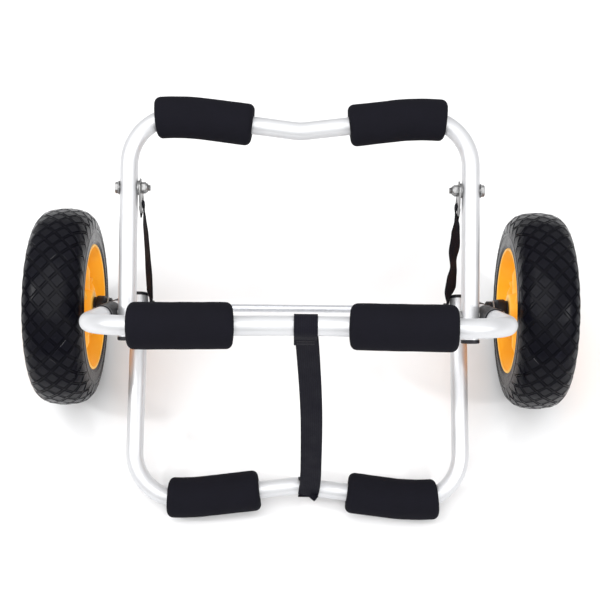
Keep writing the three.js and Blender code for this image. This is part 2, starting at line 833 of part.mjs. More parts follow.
// The origin is on the floor, under the middle of the cart's box
const whole = new THREE.Group();
whole.add(cart);
whole.updateMatrixWorld(true);
const middle = new THREE.Box3().setFromObject(whole, true).getCenter(new THREE.Vector3());
cart.position.set(-middle.x, -middle.y, 0);

export default whole;
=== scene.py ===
import json
import math
from dataclasses import dataclass, field

import bpy
from bpy.props import FloatProperty, FloatVectorProperty, IntProperty, PointerProperty
from mathutils import Matrix, Vector


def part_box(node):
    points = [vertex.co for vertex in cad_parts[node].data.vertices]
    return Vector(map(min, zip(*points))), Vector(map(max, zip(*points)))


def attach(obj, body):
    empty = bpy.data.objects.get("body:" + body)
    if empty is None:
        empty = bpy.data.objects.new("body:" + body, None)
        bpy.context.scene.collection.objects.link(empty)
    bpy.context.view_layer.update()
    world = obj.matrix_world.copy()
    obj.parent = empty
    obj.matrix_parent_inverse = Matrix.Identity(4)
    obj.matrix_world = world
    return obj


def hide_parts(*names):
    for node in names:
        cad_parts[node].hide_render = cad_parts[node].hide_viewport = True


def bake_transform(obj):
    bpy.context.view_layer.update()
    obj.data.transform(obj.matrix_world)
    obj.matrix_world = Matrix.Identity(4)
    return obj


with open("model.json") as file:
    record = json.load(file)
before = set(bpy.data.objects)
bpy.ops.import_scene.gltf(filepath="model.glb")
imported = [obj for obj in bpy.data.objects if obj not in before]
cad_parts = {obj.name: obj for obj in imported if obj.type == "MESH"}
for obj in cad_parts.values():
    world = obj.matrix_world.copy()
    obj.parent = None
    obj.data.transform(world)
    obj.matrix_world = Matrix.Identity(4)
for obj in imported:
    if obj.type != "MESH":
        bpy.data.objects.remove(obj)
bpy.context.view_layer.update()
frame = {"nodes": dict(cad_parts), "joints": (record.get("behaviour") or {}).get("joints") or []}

bl_info = {
    "name": "Kayak cart",
    "version": (1, 0, 0),
    "blender": (4, 5, 0),
    "location": "View3D > Sidebar > Kayak cart",
    "description": "Builds a folding kayak cart: tube frames, foam pads, straps and wheels",
    "category": "Object",
}

SIDES = (("left", -1), ("right", 1))
FRAMES = ("main", "lower_bunk", "kickstand")  # Each frame's pieces ride on the body of its name
FULL_TURN = 2 * math.pi
JOINTS = {joint["name"]: Vector(joint["pos_m"]) for joint in frame["joints"]}
AXLE = JOINTS["bunk_fold"]
KICK_PIVOT = JOINTS["kickstand_fold"]
ACROSS = sum(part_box("main_frame"), Vector()).x / 2  # Middle of the frames
PLACE_MAIN = Vector((ACROSS, AXLE.y, AXLE.z))
PLACE_KICK = Vector((ACROSS, KICK_PIVOT.y, KICK_PIVOT.z))
SLIP = 0.0003  # Gap that lets one piece slide over another
TOUCHING = 1e-6  # Points nearer than this are one


def length(name, text, value):
    return FloatProperty(
        name=name, description=text, default=value, unit="LENGTH", subtype="DISTANCE", precision=4
    )


def angle(name, text, degrees):
    return FloatProperty(
        name=name, description=text, default=math.radians(degrees), unit="ROTATION", subtype="ANGLE"
    )


def share(name, text, value):
    return FloatProperty(
        name=name, description=text, default=value, subtype="FACTOR", soft_min=0, soft_max=1
    )


def amount(name, text, value):
    return FloatProperty(name=name, description=text, default=value, min=0)


def number(name, text, value):
    return IntProperty(name=name, description=text, default=value, min=3)


def colour(name, text, value):
    return FloatVectorProperty(
        name=name, description=text, default=value, subtype="COLOR", size=3, min=0, max=1
    )


class CartFrameSizes(bpy.types.PropertyGroup):
    tube_radius: length("Tube radius", "Outer radius of every frame tube", 0.011)
    tube_wall: length("Tube wall", "Wall thickness of the tubes", 0.0016)
    corner_radius: length("Corner radius", "Bend radius at the corners, on the middle line", 0.060)
    dip_slope: angle("Dip slope", "Slope of each half of a crossbar towards its middle", 7)
    main_half: length("Main half width", "Half the distance between the main frame's legs", 0.233)
    main_reach: length("Main reach", "From the axle to where leg and crossbar lines meet", 0.3055)
    main_stub: length("Main stub", "Leg length past the axle", 0.020)
    main_lift: angle("Main lift", "Slope of the main frame above the floor", 51.8)
    inner_half: length("Inner half width", "Half the distance between inner frames' legs", 0.2094)
    bunk_reach: length("Bunk reach", "From the axle to the lower bunk's corner", 0.2557)
    bunk_stub: length("Bunk stub", "Lower bunk leg length past the axle", 0.016)
    bunk_drop: angle("Bunk drop", "Slope of the lower bunk below the axle", 24.56)
    kick_reach: length("Kickstand reach", "From the pivot to the kickstand's corner", 0.2505)
    kick_stub: length("Kickstand stub", "Kickstand leg length past its pivot", 0.030)
    kick_lift: angle("Kickstand lift", "Slope of the kickstand above the floor", 32.8)
    kick_along: length("Kickstand pivot", "Distance of the pivot bolts along the main legs", 0.113)
    strap_bolt_along: length("Strap bolts", "Their distance along the kickstand's legs", 0.1538)


class CartPadSizes(bpy.types.PropertyGroup):
    radius: length("Pad radius", "Outer radius of the foam sleeves", 0.0255)
    round: length("Pad rounding", "Radius of the rounded sleeve ends", 0.0075)
    bend_radius: length("Pad bend radius", "Tightest bend that a sleeve takes round a corner", 0.18)
    bend_lead: length("Pad bend lead", "How early a sleeve bends before the corner", 0.024)
    lumps: length("Pad lumps", "How far the foam's surface wanders", 0.0007)


class CartWheelSizes(bpy.types.PropertyGroup):
    middle: length("Wheel middle", "From the axle's middle to the wheel's", 0.3065)
    radius: length("Wheel radius", "Outer radius of the tyre", 0.129)
    half_width: length("Tyre half width", "Half the width of the tyre", 0.037)
    bead_radius: length("Bead radius", "Where the tyre meets the rim", 0.0825)
    groove_depth: length("Groove depth", "Depth of the tread grooves", 0.0020)
    groove_width: length("Groove width", "Width of both grooves between diamonds", 0.0013)
    rib_width: length("Rib width", "Width of the rib between the two grooves", 0.0012)
    rib_height: length("Rib height", "Height of the thin ribs above the groove floor", 0.0016)
    pitches: number("Tread pitches", "Diamonds round the tyre", 34)
    column: length("Tread column", "Width of a column of diamonds, along the tyre's surface", 0.022)
    shoulder_lug: length("Shoulder lugs", "How far the grooves run out over the shoulder", 0.0095)
    left_phase: share("Left tread turn", "Turn of the left tread as a share of one diamond", 0.1)
    right_phase: share("Right tread turn", "Turn of the right tread as a share of one diamond", 0.3)
    spoke_turn: angle("Spoke turn", "Where the first spoke stands at rest", 4.8)
    spokes: number("Spokes", "Spokes on each side of the rim", 6)


class CartStrapSizes(bpy.types.PropertyGroup):
    centre_width: length("Centre strap width", "Width of the strap between the two bunks", 0.026)
    upper_shift: length("Upper shift", "Place on the main crossbar, from its middle", 0.008)
    lower_shift: length("Lower shift", "Place on the lower crossbar, from its middle", 0.013)
    slot_bar: length("Slot bar", "From the strap bolt to the bar of its tab", 0.0244)
    side_width: length("Side strap width", "Width of the straps at the kickstand", 0.020)
    thickness: length("Webbing thickness", "Thickness of the webbing", 0.0016)


class CartColours(bpy.types.PropertyGroup):
    tube: colour("Tube", "Satin anodised aluminium", (0.61, 0.615, 0.63))
    foam: colour("Foam", "Charcoal closed-cell foam", (0.0072, 0.0070, 0.0104))
    tyre: colour("Tyre", "Black rubber", (0.0030, 0.0030, 0.0055))
    rim: colour("Rim", "Yellow moulded plastic", (1.0, 0.44, 0.0))
    plastic: colour("Black plastic", "Black moulded plastic", (0.0055, 0.0055, 0.0075))
    steel: colour("Steel", "Zinc plated steel", (0.31, 0.31, 0.31))
    axle: colour("Axle", "Bright drawn steel", (0.62, 0.63, 0.66))
    webbing: colour("Webbing", "Black woven webbing", (0.0040, 0.0038, 0.0080))
    thread: colour("Thread", "Sewing thread", (0.03, 0.029, 0.033))
    floor: colour("Floor", "Studio floor", (0.85, 0.85, 0.855))


class CartStage(bpy.types.PropertyGroup):
    distance: length("Camera distance", "From the camera to what it looks at", 1.5565)
    tilt: angle("Camera tilt", "How far the camera looks down", 55.2)
    roll: angle("Camera roll", "Turn of the camera about its own line of sight", 0.546)
    lens: amount("Lens", "Focal length for a 36 mm sensor", 71.76)
    aim_across: length("Aim across", "Looked-at point to the right of the frames' middle", 0.00144)
    aim_up: length("Aim up", "Looked-at point above the axle", 0.0199)
    daylight: amount("Daylight", "Strength of the even light", 1.12)
    horizon: share("Horizon", "How bright the light is at the horizon", 0.40)
    key: amount("Key light", "Strength of the large overhead light in watts", 30)
    side: amount("Side lights", "Strength of each side light in watts", 15)
    fill: amount("Fill light", "Strength of the front light in watts", 6)


# Selecting, making and finishing pieces


def deselect():
    if bpy.context.mode != "OBJECT":
        bpy.ops.object.mode_set(mode="OBJECT")
    bpy.ops.object.select_all(action="DESELECT")


def take(piece):
    deselect()
    piece.select_set(True)
    bpy.context.view_layer.objects.active = piece


def edit(piece):
    take(piece)
    bpy.ops.object.mode_set(mode="EDIT")


def merge():
    """Merges the whole mesh's doubles, in edit mode."""
    bpy.ops.mesh.select_all(action="SELECT")
    bpy.ops.mesh.remove_doubles(threshold=TOUCHING)


def close():
    """Points the whole mesh's faces outwards and leaves edit mode."""
    bpy.ops.mesh.select_all(action="SELECT")
    bpy.ops.mesh.normals_make_consistent(inside=False)
    bpy.ops.object.mode_set(mode="OBJECT")


def settle(piece, matrix=None):
    """Puts the piece where matrix says and moves its place into its mesh."""
    take(piece)
    if matrix is not None:
        piece.matrix_world = matrix @ piece.matrix_world
    bpy.ops.object.transform_apply(location=True, rotation=True, scale=True)
    return piece


def modify(piece, kind, **values):
    """Adds a modifier with these values and applies it."""
    take(piece)
    bpy.ops.object.modifier_add(type=kind)
    made = piece.modifiers[-1]
    for key, value in values.items():
        setattr(made, key, value)
    bpy.ops.object.modifier_apply(modifier=made.name)


def soften_edges(piece, width, degrees):
    """Bevels the edges that turn by more than some degrees."""
    modify(piece, "BEVEL", width=width, segments=2, limit_method="ANGLE",
           angle_limit=math.radians(degrees))


def cut(piece, cutter, operation):
    modify(piece, "BOOLEAN", operation=operation, object=cutter, solver="EXACT")
    bpy.data.objects.remove(cutter)


def select_where(piece, test, kind="FACE"):
    """Selects, in edit mode, what passes the test, which gets the place and the normal of each
    face (FACE) or vertex (VERT), or the middle and the direction of each edge (EDGE)."""
    bpy.ops.mesh.select_mode(type=kind)
    bpy.ops.mesh.select_all(action="DESELECT")
    bpy.ops.object.mode_set(mode="OBJECT")
    mesh = piece.data
    if kind == "FACE":
        found = [(part, part.center, part.normal) for part in mesh.polygons]
    elif kind == "VERT":
        found = [(part, part.co, part.normal) for part in mesh.vertices]
    else:
        ends = [(part, *(mesh.vertices[i].co for i in part.vertices)) for part in mesh.edges]
        found = [(part, (a + b) / 2, b - a) for part, a, b in ends]
    for part, place, way in found:
        part.select = bool(test(place, way))
    bpy.ops.object.mode_set(mode="EDIT")


def name_last(name):
    piece = bpy.context.view_layer.objects.active
    piece.name = name
    piece.data.name = name
    return piece


def copy_of(piece, name):
    take(piece)
    bpy.ops.object.duplicate()
    return name_last(name)


def joined(pieces, name):
    deselect()
    for piece in pieces:
        piece.select_set(True)
    bpy.context.view_layer.objects.active = pieces[0]
    bpy.ops.object.join()
    return name_last(name)


def turned(name, outline, steps=48, cuts=0, closed=True):
    """A ring turned about X from (along, radius) points; cuts splits the long edges first."""
    most_cuts = 15
    deselect()
    bpy.ops.mesh.primitive_circle_add(vertices=3, radius=0.001)
    piece = name_last(name)
    bpy.ops.object.mode_set(mode="EDIT")
    bpy.ops.mesh.select_mode(type="VERT")
    bpy.ops.mesh.select_all(action="SELECT")
    bpy.ops.mesh.merge(type="CENTER")
    points = [Vector((along, 0, radius)) for along, radius in outline]
    if closed:
        points.append(points[0])
    bpy.ops.transform.translate(value=points[0])
    for before, after in zip(points, points[1:]):
        bpy.ops.mesh.extrude_region_move(TRANSFORM_OT_translate={"value": after - before})
    merge()
    if cuts:
        longest = max((b - a).length for a, b in zip(points, points[1:]))
        select_where(piece, lambda middle, way: way.length > longest / 2, "EDGE")
        while cuts > 1:
            bpy.ops.mesh.subdivide(number_cuts=min(cuts, most_cuts) - 1)
            cuts = math.ceil(cuts / most_cuts)
    bpy.ops.mesh.select_all(action="SELECT")
    bpy.ops.mesh.spin(steps=steps, angle=FULL_TURN, center=(0, 0, 0), axis=(1, 0, 0))
    merge()
    close()
    return piece


def chamfered(name, low, high, bore, outer, edge=0.0005):
    """A bored ring along X with broken outer edges."""
    return turned(name, [
        (low, bore), (low, outer - edge), (low + edge, outer),
        (high - edge, outer), (high, outer - edge), (high, bore),
    ])


def profile(start, sign, *points, base=0):
    """Outline points from pairs in millimetres: how far beyond start, in the direction of sign,
    and how far outside the radius of base."""
    return [(start + sign * along / 1000, base + radius / 1000) for along, radius in points]


def arc(centre, radius, start, end, steps):
    """Points of a circular arc as (along, radius) pairs, with angles in degrees."""
    points = []
    for i in range(steps + 1):
        turn = math.radians(start + (end - start) * i / steps)
        points.append((centre[0] + radius * math.cos(turn), centre[1] + radius * math.sin(turn)))
    return points


def seat(piece, body, node, kind, degrees=35):
    """Gives a piece its body, hides the CAD node that it stands for, and gives the piece its
    shading and its finish.
    """
    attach(piece, body)
    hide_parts(node)
    finish(piece, kind, degrees)


# Lines


def polar(radius, turn):
    return radius * Vector((math.cos(turn), math.sin(turn), 0))


def around(place):
    """Distance of a place from the X axis, which is the middle of all that is turned."""
    return math.hypot(place.y, place.z)


def run_of(points):
    return sum((b - a).length for a, b in zip(points, points[1:]))


def walk(points, distance):
    """Point and direction at a distance along a line of points."""
    for a, b in zip(points, points[1:]):
        step = (b - a).length
        if distance <= step or b is points[-1]:
            way = (b - a) / step
            return a + way * distance, way
        distance -= step


def smooth_line(points, first, last, count):
    """More points on a smooth line through the given ones, and each one's place in the given list.
    first and last lead into the line and out of it; count gives the steps for a length."""
    near = [first, *points, last]
    line, marks = [], []
    for i, (before, a, b, after) in enumerate(zip(near, near[1:], near[2:], near[3:])):
        steps = count((b - a).length)
        for k in range(steps):
            t = k / steps
            square = 2 * before - 5 * a + 4 * b - after
            cube = 3 * a - before - 3 * b + after
            line.append(0.5 * (2 * a + (b - before) * t + square * t * t + cube * t ** 3))
            marks.append(i + t)
    return [*line, points[-1]], [*marks, len(points) - 1]


def bend_along(piece, points, tilts=None):
    """Bends a straight piece, made along X from 0, along a nearly flat line; the guide runs on
    past both its ends."""
    run_on = 0.1
    first = points[0] + (points[0] - points[1]).normalized() * run_on
    last = points[-1] + (points[-1] - points[-2]).normalized() * run_on
    places = [first, *points, last]
    tilts = [tilts[0], *tilts, tilts[-1]] if tilts else [0] * len(places)
    data = bpy.data.curves.new("guide", "CURVE")
    data.dimensions = "3D"
    data.twist_mode = "Z_UP"
    spline = data.splines.new("POLY")
    spline.points.add(len(places) - 1)
    for point, place, tilt in zip(spline.points, places, tilts):
        point.co = (*place, 1)
        point.tilt = tilt
    guide = bpy.data.objects.new("guide", data)
    bpy.context.scene.collection.objects.link(guide)
    settle(piece, Matrix.Translation((run_on, 0, 0)))
    modify(piece, "CURVE", object=guide, deform_axis="POS_X")
    bpy.data.objects.remove(guide)


class FrameLine:
    """A frame's U-shaped middle line, in the frame's own plane, and its place in the cart."""

    corner_steps = 32
    dip_steps = 8

    def __init__(self, half, reach, stub, place, turn):
        sizes = bpy.context.scene.cart_frames
        bend = sizes.corner_radius
        slope = sizes.dip_slope
        sweep = math.pi / 2 + slope
        top = reach - bend * math.tan(sweep / 2)
        dip = bend * math.tan(slope)
        apex = reach - half * math.tan(slope)
        left = [Vector((-half, -stub, 0)), Vector((-half, top, 0))]
        corner = Vector((-half + bend, top, 0))
        for i in range(1, self.corner_steps + 1):
            left.append(corner + polar(bend, math.pi - sweep * i / self.corner_steps))
        hollow = Vector((0, apex + dip * math.sin(slope) + bend * math.cos(slope), 0))
        for i in range(self.dip_steps + 1):
            left.append(hollow + polar(bend, -math.pi / 2 - slope * (1 - i / self.dip_steps)))
        right = [Vector((-p.x, p.y, 0)) for p in reversed(left[:-1])]
        self.points = left + right
        self.stub = stub
        self.length = run_of(self.points)
        self.matrix = Matrix.Translation(place) @ Matrix.Rotation(turn, 4, "X")

    def along_leg(self, sign, distance):
        """Distance along the line of a place on a leg, measured from the pivot."""
        from_end = self.stub + distance
        return from_end if sign < 0 else self.length - from_end

    def bend(self, piece):
        """Bends a straight piece, made along X, round the line and puts it in the cart."""
        bend_along(piece, self.points)
        return settle(piece, self.matrix)


def frame_line(which):
    s = bpy.context.scene.cart_frames
    if which == "main":
        return FrameLine(s.main_half, s.main_reach, s.main_stub, PLACE_MAIN, math.pi - s.main_lift)
    if which == "lower_bunk":
        return FrameLine(s.inner_half, s.bunk_reach, s.bunk_stub, PLACE_MAIN, math.pi + s.bunk_drop)
    return FrameLine(s.inner_half, s.kick_reach, s.kick_stub, PLACE_KICK, s.kick_lift)


# Materials


def feed(tree, node, values):
    """Sets a node's inputs: an output of another node is linked, anything else is the value."""
    for name, value in values.items():
        if isinstance(value, bpy.types.NodeSocket):
            tree.links.new(value, node.inputs[name])
        else:
            node.inputs[name].default_value = value


def placed(tree, kind, values):
    node = tree.nodes.new(f"ShaderNode{kind}")
    feed(tree, node, values)
    return node.outputs


def computed(tree, operation, *values):
    node = tree.nodes.new("ShaderNodeMath")
    node.operation = operation
    feed(tree, node, dict(enumerate(values)))
    return node.outputs[0]


def mixed(tree, factor, low, high):
    """A colour between low and high."""
    node = tree.nodes.new("ShaderNodeMix")
    node.data_type = "RGBA"
    sockets = {socket.identifier: socket for socket in (*node.inputs, *node.outputs)}
    tree.links.new(factor, sockets["Factor_Float"])
    sockets["A_Color"].default_value = (*low, 1)
    sockets["B_Color"].default_value = (*high, 1)
    return sockets["Result_Color"]


def grain_nodes(tree, given):
    """Fine and coarse noise for moulded, foamed and metal surfaces, and the patches' roughness."""

    def noise(scale, detail):
        values = {"Vector": given["Vector"], "Scale": given[scale], "Detail": detail}
        return placed(tree, "TexNoise", values)["Fac"]

    fine = noise("Fine scale", 3)
    coarse = noise("Coarse scale", 4)
    rough = placed(tree, "MapRange", {"Value": coarse, "From Min": 0.3, "From Max": 0.7,
                                      "To Min": given["Low"], "To Max": given["High"]})
    return fine, coarse, rough["Result"]


def scuffs_and_highlight_nodes(tree, given):
    """A mask of edges that stand out: scuffs on most finishes, and on the rim a painted highlight
    along its lips and spoke edges.
    """
    fade = 0.08
    noise = placed(tree, "TexNoise", {"Vector": given["Vector"], "Scale": given["Breakup scale"]})
    edge = placed(tree, "MapRange", {
        "Value": placed(tree, "NewGeometry", {})["Pointiness"],
        "From Min": given["Reach"],
        "From Max": computed(tree, "ADD", given["Reach"], fade),
    })
    return (computed(tree, "MULTIPLY", edge["Result"], noise["Fac"]),)


def weave_nodes(tree, given):
    """The ribs of woven webbing on a strap's own map, with U across it and V along it."""

    def wave(value):
        turn = computed(tree, "MULTIPLY", value, math.pi)
        return computed(tree, "ABSOLUTE", computed(tree, "SINE", turn))

    split = placed(tree, "SeparateXYZ", {0: given["Map"]})
    across = computed(tree, "MULTIPLY", split["X"], given["Ribs"])
    along = computed(tree, "MULTIPLY", split["Y"], given["Rows"])
    stagger = computed(tree, "MULTIPLY", computed(tree, "FLOOR", across), 0.5)
    rib = wave(across)
    row = wave(computed(tree, "ADD", along, stagger))
    crowns = computed(tree, "POWER", rib, 0.5), computed(tree, "POWER", row, 0.6)
    return computed(tree, "MULTIPLY", *crowns), computed(tree, "MULTIPLY", rib, row)


# Each effect's inputs, of which those without a value are vectors, its outputs and its nodes
EFFECTS = {
    "Surface grain": (
        {"Vector": None, "Fine scale": 2500.0, "Coarse scale": 60.0, "Low": 0.4, "High": 0.6},
        ("Height", "Patches", "Roughness"),
        grain_nodes,
    ),
    "Edge wear": ({"Vector": None, "Reach": 0.55, "Breakup scale": 220.0}, ("Mask",), scuffs_and_highlight_nodes),
    "Webbing weave": ({"Map": None, "Ribs": 11.0, "Rows": 1.0}, ("Height", "Shade"), weave_nodes),
}


def effect_group(name):
    """An effect's shader node group, built when it is first asked for."""
    if name in bpy.data.node_groups:
        return bpy.data.node_groups[name]
    inputs, outputs, nodes = EFFECTS[name]
    tree = bpy.data.node_groups.new(name, "ShaderNodeTree")
    for label, value in inputs.items():
        kind = "NodeSocketVector" if value is None else "NodeSocketFloat"
        socket = tree.interface.new_socket(name=label, in_out="INPUT", socket_type=kind)
        if value is not None:
            socket.default_value = value
    for label in outputs:
        tree.interface.new_socket(name=label, in_out="OUTPUT", socket_type="NodeSocketFloat")
    made = nodes(tree, tree.nodes.new("NodeGroupInput").outputs)
    feed(tree, tree.nodes.new("NodeGroupOutput"), dict(zip(outputs, made)))
    return tree


def effect(tree, name, values):
    """Places an effect in a material with its own values."""
    node = tree.nodes.new("ShaderNodeGroup")
    node.node_tree = effect_group(name)
    feed(tree, node, values)
    return node.outputs


@dataclass
class Finish:
    """How a surface looks, and the record's material slot that it belongs to."""

    name: str
    colour: str
    slot: str
    grain: tuple  # Fine scale, coarse scale, lowest and highest roughness
    bump: tuple = None  # Strength and distance
    wear: tuple = None  # Reach of the edge mask and scale of its breakup; the mask is scuffs, and on the rim a painted highlight
    patches: float = 0  # Share of the coarse patches in the colour
    scuffs_and_highlight_share: float = 0  # Share of the edge mask in the colour: scuffs, and on the rim a painted highlight
    dark: float = 1
    light: float = 1
    light_end_and_highlight: tuple = None  # Light end of the colour, where it isn't a shade of the dark one; on the rim the painted highlight's colour
    woven: bool = False
    shader: dict = field(default_factory=dict)


METAL = {"grain": (1400.0, 260.0, 0.30, 0.48), "bump": (0.08, 0.0002), "wear": (0.54, 400.0),
         "patches": 0.7, "scuffs_and_highlight_share": 1, "dark": 0.85, "light": 1.25, "shader": {"Metallic": 1}}
GLOSS = "Specular IOR Level"
# Painted light: an emission that makes the rim glow, though it is no lamp
PAINTED_GLOW = {"Emission Color": (1.0, 0.40, 0.0, 1), "Emission Strength": 0.12}
FINISHES = {
    "tube": Finish("Satin tube", "tube", "tube", (1800.0, 45.0, 0.36, 0.46), (0.05, 0.0002),
                   patches=1, dark=0.96, light=1.03, shader={"Metallic": 0.5}),
    "foam": Finish("Foam skin", "foam", "foam", (1300.0, 38.0, 0.78, 0.92), (0.5, 0.0004),
                   (0.52, 150.0), patches=0.6, scuffs_and_highlight_share=0.8, dark=0.75, light=1.55,
                   shader={GLOSS: 0.06}),
    "tyre": Finish("Tyre rubber", "tyre", "tyre", (1500.0, 70.0, 0.16, 0.28), (0.25, 0.0003),
                   (0.53, 180.0), scuffs_and_highlight_share=1, light=2.6, shader={GLOSS: 0.10}),
    # The rim's pale lips and spoke edges are a painted highlight, and its emission is a painted
    # glow
    "rim": Finish("Yellow plastic", "rim", "yellow_plastic", (900.0, 30.0, 0.32, 0.44),
                  (0.12, 0.0003), (0.51, 40.0), patches=0.3, scuffs_and_highlight_share=1.8, dark=0.93,
                  light_end_and_highlight=(1.0, 0.70, 0.22), shader={GLOSS: 0.12, **PAINTED_GLOW}),
    "plastic": Finish("Black plastic", "plastic", "black_plastic", (1600.0, 90.0, 0.38, 0.52),
                      (0.2, 0.0002), (0.53, 260.0), scuffs_and_highlight_share=1, light=3, shader={GLOSS: 0.25}),
    "steel": Finish("Zinc steel", "steel", "steel", **METAL),
    "axle": Finish("Bright steel", "axle", "steel", **METAL),
    "webbing": Finish("Webbing", "webbing", "webbing", (1900.0, 50.0, 0.68, 0.85), (0.7, 0.0004),
                      dark=0.55, light=1.7, woven=True, shader={GLOSS: 0.15}),
    "thread": Finish("Sewing thread", "thread", "webbing", (3500.0, 400.0, 0.55, 0.7),
                     (0.4, 0.0002), patches=1, dark=0.7, light=1.3),
    "floor": Finish("Studio floor", "floor", None, (60.0, 1.5, 0.6, 0.7),
                    patches=1, dark=0.995, shader={GLOSS: 0.2}),
}
made_surfaces = {}


def shade(base, factor):
    return tuple(min(1, c * factor) for c in base)


def surface(look):
    """A finish's material: its colour and roughness follow the grain, the edge mask or the weave;
    the edge mask is scuffs, and on the rim a painted highlight.
    """
    made = bpy.data.materials.new(look.name)
    made.use_nodes = True
    tree = made.node_tree
    shader = tree.nodes["Principled BSDF"]
    place = placed(tree, "TexCoord", {})
    values = dict(zip(("Fine scale", "Coarse scale", "Low", "High"), look.grain))
    grain = effect(tree, "Surface grain", {"Vector": place["Object"], **values})
    height = grain["Height"]
    masks = [(grain["Patches"], look.patches)]
    # The edge mask: scuffs on most finishes, and a painted highlight on the rim's lips and spokes
    if look.wear:
        values = dict(zip(("Reach", "Breakup scale"), look.wear))
        wear = effect(tree, "Edge wear", {"Vector": place["Object"], **values})
        masks.append((wear["Mask"], look.scuffs_and_highlight_share))
    if look.woven:
        weave = effect(tree, "Webbing weave", {"Map": place["UV"]})
        height = weave["Height"]
        masks.append((weave["Shade"], 1))
    masks = [computed(tree, "MULTIPLY", mask, part) for mask, part in masks if part]
    factor = computed(tree, "ADD", *masks) if len(masks) > 1 else masks[0]
    base = getattr(bpy.context.scene.cart_colours, look.colour)
    light_end_and_highlight = look.light_end_and_highlight or shade(base, look.light)
    colour = mixed(tree, factor, shade(base, look.dark), light_end_and_highlight)
    feed(tree, shader, {"Base Color": colour, "Roughness": grain["Roughness"], **look.shader})
    if look.bump:
        strength, distance = look.bump
        bump = placed(tree, "Bump", {"Height": height, "Strength": strength, "Distance": distance})
        feed(tree, shader, {"Normal": bump["Normal"]})
    return made


def finish(piece, kind, degrees=35):
    """Shades a piece smooth up to some degrees, and gives it its material."""
    take(piece)
    bpy.ops.object.shade_smooth_by_angle(angle=math.radians(degrees))
    if kind not in made_surfaces:
        made_surfaces[kind] = surface(FINISHES[kind])
    piece.data.materials.clear()
    piece.data.materials.append(made_surfaces[kind])


# Operators, one for each kind of piece


class CartStep(bpy.types.Operator):
    bl_options = {"REGISTER", "UNDO"}


class CART_OT_frames(CartStep):
    """Bends the three U-shaped tubes"""

    bl_idname = "cart.frames"
    bl_label = "Tube frames"

    def execute(self, context):
        sizes = context.scene.cart_frames
        outer = sizes.tube_radius
        inner = outer - sizes.tube_wall
        for which in FRAMES:
            line = frame_line(which)
            outline = [(0, inner), (0, outer), (line.length, outer), (line.length, inner)]
            tube = line.bend(turned(f"{which}_tube", outline, steps=32, cuts=225))
            seat(tube, which, f"{which}_frame", "tube")
        return {"FINISHED"}


class CART_OT_pads(CartStep):
    """Makes the six foam sleeves round the crossbars"""

    bl_idname = "cart.pads"
    bl_label = "Foam pads"

    # Each sleeve's distance from the middle of its crossbar, then its length, left and right
    places = {
        "main": ((0.0713, 0.1125), (0.0567, 0.1153)),
        "lower_bunk": ((0.0485, 0.1170), (0.0641, 0.1160)),
        "kickstand": ((0.0590, 0.1195), (0.0603, 0.1190)),
    }

    def execute(self, context):
        pads = context.scene.cart_pads
        tube_radius = context.scene.cart_frames.tube_radius
        for which in FRAMES:
            line = frame_line(which)
            for (side, sign), (near, run) in zip(SIDES, self.places[which]):
                start = line.length / 2 + sign * near
                pad = self.sleeve(f"{which}_foam_{side}", pads, tube_radius, line, sign, start, run)
                settle(pad, line.matrix)
                seat(pad, which, f"{which}_pad_{side}", "foam", 60)
        return {"FINISHED"}

    def sleeve(self, name, pads, tube_radius, line, sign, start, run):
        """A sleeve that starts at a distance along the line and runs outwards; its bore follows
        the tube, while the foam, which is stiffer, bends less."""
        bore = tube_radius + SLIP
        middle = pads.radius - pads.round
        outline = [(0, bore), *arc((pads.round, middle), pads.round, 180, 90, 6),
                   *arc((run - pads.round, middle), pads.round, 90, 0, 6), (run, bore)]
        pad = turned(name, outline, steps=56, cuts=40)
        self.add_lumps(pad, pads, tube_radius)
        path, tube = self.path(pads, line, sign, start, run)
        for vertex in pad.data.vertices:
            if around(vertex.co) < bore * 1.2:
                shift, lean = tube(vertex.co.x)
                vertex.co.y = shift + vertex.co.y / math.cos(lean)
        bend_along(pad, path)
        return pad

    def path(self, pads, line, sign, start, run):
        """The sleeve's own middle line, and a function that says how far aside the tube runs
        inside it and at what angle."""
        count = 60
        step = run / count
        most = step / pads.bend_radius
        point, way = line_at(line, start, sign)
        headings = [math.atan2(way.y, way.x)]
        path = [point.copy()]
        for i in range(count):
            ahead = start + sign * (i * step + pads.bend_lead)
            here = walk(line.points, ahead)[1]
            after = walk(line.points, ahead + sign * step)[1]
            turn = math.atan2(here.x * after.y - here.y * after.x, here.dot(after))
            headings.append(headings[-1] + max(-most, min(most, turn)))
            path.append(path[-1] + polar(step, headings[-1]))

        def tube(along):
            i = max(0, min(count, round(along / step)))
            ahead = polar(1, headings[i])
            aside = Vector((-ahead.y, ahead.x, 0))
            distance = start + sign * along
            for _ in range(4):
                place, way = line_at(line, distance, sign)
                distance -= sign * (place - path[i]).dot(ahead)
            return (place - path[i]).dot(aside), math.asin(max(-1, min(1, way.dot(aside))))

        return path, tube

    def add_lumps(self, pad, pads, tube_radius):
        """Gives the skin of a sleeve slow, shallow lumps, and leaves its bore round."""
        noise = bpy.data.textures.new("foam lumps", "CLOUDS")
        noise.noise_scale = 0.022
        noise.noise_depth = 1
        core = tube_radius * 1.5
        edit(pad)
        pad.vertex_groups.new(name="skin")
        select_where(pad, lambda at, normal: around(at) > core, "VERT")
        bpy.ops.object.vertex_group_assign()
        bpy.ops.object.mode_set(mode="OBJECT")
        modify(pad, "DISPLACE", texture=noise, texture_coords="LOCAL", strength=pads.lumps,
               mid_level=0.5, vertex_group="skin")
        pad.vertex_groups.clear()


def line_at(line, distance, sign):
    """Point on a frame's line, and its direction away from the middle."""
    point, way = walk(line.points, distance)
    return point, way * sign


